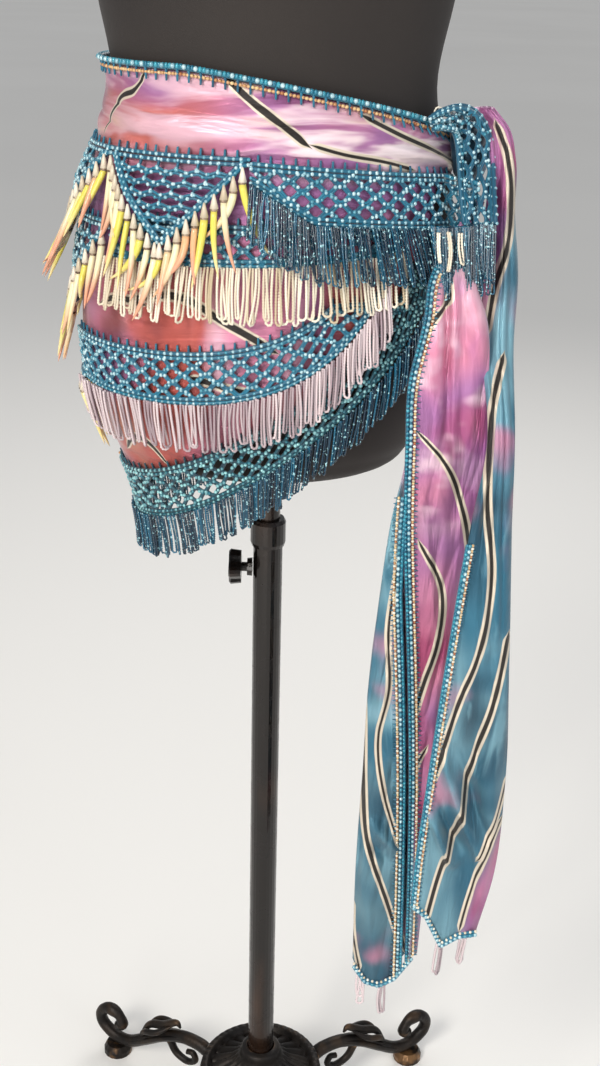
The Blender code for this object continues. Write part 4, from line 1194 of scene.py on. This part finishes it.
def drape_place(along_net, over):
    """Down the drape's line, and over its folded width. Both numbers run from 0 to 1."""
    rows = np.linspace(0, 1, len(DRAPED))
    x, y, height, half = (np.interp(along_net, rows, column) for column in DRAPED.T)
    ahead, sink = (np.interp(along_net, rows, np.gradient(DRAPED[:, k])) for k in (0, 2))
    long = np.hypot(ahead, sink)
    crumple = np.sin(along_net * 9 + over * 4) * 0.12
    offset = (2 * (over + crumple * over * (1 - over)) - 1) * half
    x, height = x - sink / long * offset, height + ahead / long * offset
    y = np.minimum(y, knot_front(x, height) - OFF_KNOT) - OFF_LINE
    pleat = PLEAT_DEEP * np.sin(over * 2.5 * math.pi + along_net * 3) ** 2
    return np.stack([x, y - pleat, height], -1) + POLE


run = lengths_along(DRAPED[:, :3])[-1]
over_knot = netted(
    lambda across, down: drape_place(across / run, down / NET_TALL), run, net_tall, arches(run)
)
# the stretch between the wrap and the knot
BRIDGE_FROM, BRIDGE_WIDE, BRIDGE_END = 64.0, 0.034, POLE + (0.1490, -0.0580, -0.0600)


def bridge_place(across, down):
    share = across / BRIDGE_WIDE
    near = on_cloth(BRIDGE_FROM, tier_lines(1, BRIDGE_FROM)[0] - down, EDGE_OUT + 0.0024)
    spot = near + (BRIDGE_END - down[:, None] * (0, 0, 1) - near) * share[:, None]
    spot[:, 1] -= 0.0040 * np.sin(share * 2.5 * math.pi) ** 2
    return spot


bridge = netted(bridge_place, BRIDGE_WIDE, net_tall, arches(BRIDGE_WIDE))
turn = np.linspace(-0.4, math.pi + 0.4, 14)
tufts = [
    np.stack([x + size * np.cos(turn), 0 * turn - 0.050, height + size * 1.2 * np.sin(turn)], -1) + POLE
    for x, height, size in ((0.119, -0.0125, 0.0030), (0.127, -0.0105, 0.0026), (0.132, -0.0105, 0.0034))
]
seeds = 0.0008 * np.where(np.arange(14) % 2, 1.0, 0.6)
tufts = cords(tufts, [seeds] * 3, IVORY, 6, [(0, -1, 0)] * 3)
dress("knotted_net", over_knot + bridge + [tufts], "net", "knot_net")


# %% The caught net's fringe
def knot_fringe_place(at, aside, down, out):
    lowered = np.clip(down / 0.05, 0, 1)
    x = 0.1165 + 0.0455 * at + aside + 0.006 * (1 - at) * lowered
    y = -0.0740 - 0.018 * lowered - out - 0.004 * np.sin(at * 8) ** 2
    root = -0.0885 + 0.0030 * np.clip((at - 0.45) / 0.3, 0, 1)
    return np.stack([x, y, root - down], -1) + POLE


def pale_place(at, aside, down, out):
    """A few pale loops in front of the dark ones, at the side of the hip."""
    return knot_fringe_place(0.02 + 0.50 * at, aside, down + 0.004 * np.sin(9 * at) ** 2, out + 0.003)


loops = [
    seed_loops(knot_fringe_place, 46, 0.046, 0.0028, 0.00086, GLASS, (0.75, 1.08)),
    seed_loops(pale_place, 3, 0.026, 0.0024, 0.00110, IVORY, (0.7, 1.2)),
]
dress("loops_knot", loops, "dark_beads", "knot_fringe")

# %% [markdown]
# ## Tails
#
# Each tail is folded lengthways, so its section is a flat loop that opens at a slit. A table gives the
# slit and the sides at each height. The corners are rounded with a smooth curve, and soft pleats run
# down the faces. The lower edge is let down in points.

# %% Tables of the tails
# height, left, slit, right, front, back
TAIL_FRONT = millimetres(
    (-706, 82.2, 128.5, 137, -120, -110), (-610, 81, 125.5, 140, -122, -110),
    (-525, 83.1, 122, 144, -122, -109), (-445, 84.5, 117, 148, -122, -108),
    (-380, 88.8, 112, 153, -122, -108), (-305, 96, 106.5, 158, -122, -108),
    (-240, 106, 104.5, 163.5, -120, -106), (-195, 106.5, 104.5, 161.5, -115, -102),
    (-150, 116, 114, 158, -103, -92), (-121, 120.5, 118.5, 148, -88.5, -81.5),
    (-100, 134.5, 133, 148, -62, -54), (-76, 147.5, 146, 157, -46, -38),
)
TAIL_SIDE = millimetres(
    (-650, 126.5, 126.5, 181.5, -152, -139), (-600, 128, 128, 191, -152, -137),
    (-510, 133.5, 133.5, 194, -152, -134), (-400, 141.5, 141.5, 188.5, -152, -134),
    (-290, 152, 152, 182.5, -147, -131), (-225, 160, 160, 180, -138, -125),
    (-170, 156, 156, 180, -98, -82), (-125, 156, 156, 183, -74, -56),
    (-83, 157, 157, 179, -56, -44), (-43, 157.5, 157.5, 177, -46, -37),
    (-22, 152, 152, 170.5, -40, -33), (-10, 142, 142, 160, -34, -27),
)
HEM_FRONT = millimetres((82, -716), (93, -734), (105, -738), (118, -730), (133, -706))
HEM_SIDE = millimetres((127, -628), (138, -637), (152, -667), (166, -657), (181, -654))
SLIT_GAP, STRIP_SHOWS, TAIL_CLOTH = 0.006, 0.006, 0.0016
# x and height of both ends, depth (less than nothing for a ridge), half width
CREASES_FRONT = millimetres(
    (126.2, -80, 133, -235, 10, 3), (138.5, -110, 146.5, -300, 3, 6), (119, -280, 135.5, -400, -2.5, 4.5),
    (124, -300, 138, -385, 2, 3.5), (90, -560, 119, -592, -6.5, 4.5), (90, -580, 112, -602, 3.5, 4),
    (90, -470, 112, -535, 2.2, 5), (84, -620, 105, -690, -2.2, 6),
)
CREASES_SIDE = millimetres(
    (141, -480, 178, -580, -11.5, 4.2), (150, -470, 185, -566, 8, 5), (130, -535, 160, -585, -9.5, 4),
    (137, -525, 166, -574, 6.5, 4), (170, -560, 182, -630, 3, 4), (160, -300, 170, -420, -3, 6),
    (172, -200, 178, -330, 3, 4), (164, -60, 166, -140, 3, 3.5), (150, -400, 170, -490, 2.5, 5.5),
)


def let_down(hem_line, table, x, height):
    """A height on a tail, let down or taken up towards its shaped hem."""
    low, top = table[0, 0], table[-1, 0]
    return height + (np.interp(x, *hem_line.T) - low) * ((top - height) / (top - low)) ** 6


# %% A tail's cloth
FACE_STEPS, ROUNDING, TAIL_ROWS, BROAD_FOLD, CRISP_FOLD = 3, 9, 220, 0.0016, 0.0018


def section(row, strip_shows):
    """Plan points of the cloth: from the front lip round the back to the lip of the left strip."""
    left, slit, right, front, back = row
    turn, middle, width = (back - front) / 2, (front + back) / 2, right - left
    face = np.linspace((slit, front), (right - turn, front), FACE_STEPS + 1)
    behind = ((right, middle), (right - turn, back), ((left + right) / 2, back), (left + turn, back))
    if not strip_shows:
        return np.vstack([face, behind])[: FACE_STEPS + 4]
    shown = min(max((slit - SLIT_GAP - left - turn) / STRIP_SHOWS, 0), 1)
    folded = np.linspace((left + width / 4, middle), (left + width / 2, middle), FACE_STEPS + 1)
    strip = np.linspace((left + turn, front), (slit - SLIT_GAP, front), FACE_STEPS + 1)
    return np.vstack([face, behind, (left, middle), folded + (strip - folded) * shown])


def creased(x, height, creases):
    """How far creases push the face in at these places."""
    pushed = 0.0
    for x0, height0, x1, height1, depth, wide in creases:
        run_x, run_height = x1 - x0, height1 - height0
        share = ((x - x0) * run_x + (height - height0) * run_height) / (run_x**2 + run_height**2)
        share = np.clip(share, 0, 1)
        off = np.hypot(x - x0 - share * run_x, height - height0 - share * run_height)
        pushed = pushed + depth * np.sin(math.pi * share) ** 0.6 * np.exp(-((off / wide) ** 1.5))
    return pushed


def tail(name, replaced, table, hem_line, strip_shows, seed, creases, finish):
    plan = []
    for height in np.linspace(table[0, 0], table[-1, 0], TAIL_ROWS + 1):
        row = [along(table, column, height) for column in range(1, 6)]
        curve = smoothed(section(row, strip_shows), ROUNDING)
        share = np.linspace(0, 1, len(curve))
        held = np.clip(share * 9, 0, 1) * np.clip((1 - share) * 9, 0, 1)
        broad = ripples(share * 14, height * 15, seed)
        crisp = np.abs(ripples(share * 20, height * 24, seed + 1)) ** 0.7
        front, middle = row[3], (row[3] + row[4]) / 2
        in_front = np.clip((middle - curve[:, 1]) / (middle - front), 0, 1)
        dents = creased(curve[:, 0], height, creases) * in_front
        curve[:, 1] += (BROAD_FOLD * broad - CRISP_FOLD * crisp + dents) * np.sin(math.pi / 2 * held)
        plan.append(np.column_stack([curve, let_down(hem_line, table, curve[:, 0], height)]))
    plan = np.array(plan) + POLE
    columns = plan.shape[1] - 1

    def place(across, up):
        return plan[np.round(up * TAIL_ROWS).astype(int), np.round(across * columns).astype(int)]

    def plan_print(_, points):
        """Across by the place along X, down by the height."""
        return (points[:, 0] - AXIS.x) / TAIL_WIDE, (WAIST - points[:, 2]) / TAIL_LONG

    piece = grid_piece(columns, TAIL_ROWS, place)
    set_print(piece, plan_print)
    thicken(piece)
    developed = np.linalg.norm(np.diff(plan, axis=1), axis=2).sum(1).mean()
    print(f"{name}: cloth {developed:.3f} m across, {table[-1, 0] - table[0, 0]:.3f} m long")
    return dress(name, [(piece, finish)], "satin", replaced)


front_cloth = (TAIL_FRONT, HEM_FRONT, True, 12, CREASES_FRONT, SATIN_FRONT)
side_cloth = (TAIL_SIDE, HEM_SIDE, False, 31, CREASES_SIDE, SATIN_SIDE)
front_tail = tail("satin_tail_front", "tail_front", *front_cloth)
side_tail = tail("satin_tail_side", "tail_side", *side_cloth)

# %% [markdown]
# ## Borders and hems of the tails
#
# A double border runs down each open edge: a row of pearls beside a gold ladder of braid stitches. A
# pearl row follows the shaped hems, and a few mauve loops hang from them.

# %% Borders
SEAM = 0.0004


def border_line(table, hem_line, shift, forward, first, tuck):
    """Points down a tail's slit, from a share of its length to its foot. tuck draws its top aside."""
    height = np.linspace(table[-1, 0] + (table[0, 0] - table[-1, 0]) * first, table[0, 0] + 0.002, 400)
    x = along(table, 2, height) + shift + tuck * np.clip(1 - (height[0] - height) / 0.08, 0, 1)
    y = along(table, 4, height) - TAIL_CLOTH / 2 - 2 * SEAM - forward
    return np.stack([x, y, let_down(hem_line, table, x, height)], -1) + POLE


def border(name, replaced, table, hem_line, shift, side, first, tuck, wide=1.0):
    """A corded edge with pearls, then a ladder of gold and ivory, and stitches on to the cloth."""

    def row(aside, forward, pitch):
        return evenly(border_line(table, hem_line, shift + aside * side * wide, forward, first, tuck), pitch)

    steps = row(0.0022, 0.0006, 0.0022)
    tick = np.linspace(0.0002, 0.0036, 4)[:, None] * (side * wide, 0, 0) - (0, 0.0002, 0)
    ticks = [spot + tick for spot in steps[::2]]
    parts = [
        beads(row(-0.0006, 0.0016, 0.0044), 0.0015, PEARL),
        beads(row(-0.0032, 0.0010, 0.0034), 0.0014, PEARL_TEAL),
        beads(steps[::2], (0.0013, 0.0012, 0.0012), BRAID),
        beads(steps[1::2] - (0, 0.0005, 0), (0.0013, 0.0011, 0.0010), IVORY),
        cords(ticks, [np.linspace(0.0008, 0.0003, 4)] * len(ticks), YARN, 5, [(0, -1, 0)] * len(ticks)),
        cords([row(-0.0034, 0.0004, 0.004), row(-0.0008, 0.0006, 0.004)], [0.0013] * 2, YARN),
    ]
    return dress(name, parts, "net", replaced)


front, left = (0.0026, 1, 0.06, 0.0), (-SLIT_GAP - 0.0026, -1, 0.325, 0.005)
on_front = [
    border("border_front", "tail_front_border", TAIL_FRONT, HEM_FRONT, *front),
    border("border_front_left", "tail_front_border_left", TAIL_FRONT, HEM_FRONT, *left),
]
on_side = [border("border_side", "tail_side_border", TAIL_SIDE, HEM_SIDE, 0.0020, 1, 0.463, 0.0, 0.75)]


# %% Hems
def hem_piece(name, replaced, table, hem_line, spots_across):
    """A pearl row along a shaped hem, with loops at some places across it."""
    x = np.linspace(hem_line[0, 0] + 0.001, hem_line[-1, 0] - 0.001, 60)
    front = table[0, 4] - 0.0022
    line = np.stack([x, front + 0 * x, np.interp(x, *hem_line.T) - 0.0010], -1) + POLE

    def place(at, aside, down, out):
        middle = spots_across[min(int(at * len(spots_across)), len(spots_across) - 1)]
        foot = np.interp(middle, *hem_line.T) - 0.002
        return np.stack([middle + aside, front - out, foot - down], -1) + POLE

    parts = [
        beads(evenly(line - (0, 0.0008, 0), 0.0042), 0.00175, PEARL),
        beads(evenly(line + (0, -0.0004, 0.0034), 0.0042), 0.0013, IVORY),
        cords([line, line + (0, 0, 0.0032)], [0.0019, 0.0011], YARN),
        seed_loops(place, len(spots_across), 0.027, 0.0050, 0.00125, MAUVE, (0.85, 1.1)),
    ]
    return dress(name, parts, "lilac_beads", replaced)


spots_front, spots_side = (0.0875, 0.0900, 0.1065, 0.1090), (0.1500, 0.1525, 0.1690, 0.1715)
on_front.append(hem_piece("hem_front", "tail_front_hem", TAIL_FRONT, HEM_FRONT, spots_front))
on_side.append(hem_piece("hem_side", "tail_side_hem", TAIL_SIDE, HEM_SIDE, spots_side))

# %% [markdown]
# ## The stand
#
# The cast base has a fluted rosette round the tube and three scrolled legs with a leaf on each. The
# rosette is one turned profile whose upper face is pressed into petals. The tubes, the clamp and the
# feet are right as they are, and only take their enamel and iron.

# %% Rosette
# radius, height
HUB = millimetres(
    (12.9, 36), (12.9, 98), (19, 96), (21, 86), (30, 78), (50, 68), (54, 73), (60, 71), (62, 62),
    (49, 44), (30, 36), (12.9, 36),
)
PETALS = 24


def hub_place(around, along_profile):
    run = lengths_along(HUB)
    radius, height = (np.interp(along_profile * run[-1], run, column) for column in HUB.T)
    turn = around * 2 * math.pi
    petal, dot = np.abs(np.cos(turn * PETALS / 2)) ** 0.8, np.abs(np.cos(turn * PETALS))
    petalled = np.clip((radius - 0.0225) / 0.004, 0, 1) * np.clip((0.0515 - radius) / 0.004, 0, 1)
    dotted = np.clip(1 - np.abs(radius - 0.0575) / 0.0035, 0, 1)
    pressed = petalled * (height > 0.064) * (0.0042 * petal - 0.0034)
    height = height + pressed + 0.0014 * dot * dotted * (height > 0.068)
    return np.stack([radius * np.cos(turn), radius * np.sin(turn), height], -1) + (AXIS.x, AXIS.y, 0)


hub = close_up(grid_piece(288, 90, hub_place))
hub.data.set_sharp_from_angle(angle=math.radians(50))
dress("rosette_hub", [(hub, IRON)], "cast_iron", "base_hub", body="base")

# %% Scrolled legs
# reach, height
LEG = millimetres(
    (64.5, 57), (75, 60.5), (95, 60), (120, 50), (145, 33), (165, 20.5), (183, 19), (200, 29), (203, 42),
    (194, 52), (181, 50), (175, 40), (181, 34),
)
LEAF = millimetres((150, 37), (138, 56), (120, 64), (104, 74.5), (98, 70))
CURL = millimetres((112, 48), (104, 35), (90, 30), (80, 36), (83, 44), (90, 43))


def swelling(thick, line, start, end):
    return thick * np.sin(math.pi * np.linspace(start, end, len(line)))


def leg_lines(bearing):
    sine, cosine = math.sin(math.radians(bearing)), math.cos(math.radians(bearing))
    ahead, aside = np.array((sine, -cosine)), np.array((cosine, sine))

    def laid(line, shift=0.0, lift=0.0):
        curve = smoothed(line, 12)
        spread = swelling(shift, curve, 0, 1)[:, None]
        plan = curve[:, :1] * ahead + spread * aside + (AXIS.x, AXIS.y)
        return np.column_stack([plan, curve[:, 1] + lift])

    lines = leg, leaf, curl = [laid(LEG), laid(LEAF), laid(CURL)]
    t = np.linspace(0, 1, len(leg))
    radii = [0.0070 - 0.0012 * t + 0.0007 * np.cos(t * 40) * (t > 0.75)]
    radii += [swelling(0.0046, leaf, 0.12, 0.93), np.linspace(0.0042, 0.0030, len(curl))]
    for side in (-1, 1):
        rib, lobe = laid(LEG[1:7], side * 0.0075, 0.0010), laid(LEAF[:4], side * 0.0120, -0.0020)
        lines += [rib, lobe]
        radii += [swelling(0.0030, rib, 0.08, 0.95), swelling(0.0034, lobe, 0.1, 0.97)]
    return lines, radii, (*aside, 0)


for side, bearing in (("front", 0), ("left", -120), ("right", 120)):
    lines, radii, facing = leg_lines(bearing)
    leg = cords(lines, radii, IRON, 12, [facing] * len(lines))
    dress(f"scrolled_leg_{side}", [leg], "cast_iron", f"base_leg_{side}", body="base")

# %% Finishes of the parts that stay as they are
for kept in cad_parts.values():
    if not kept.hide_render:
        kept.data.materials.clear()
        kept.data.materials.append(IRON if kept.name.startswith("base_") else ENAMEL)
        print("kept", kept.name)

# %% [markdown]
# ## What the cloth was cut to
#
# The wrap is a shawl shape, deep at one hip. The tails are its long ends. Each sheet says the size it
# The scene is then brought up to date.

bpy.context.view_layer.update()
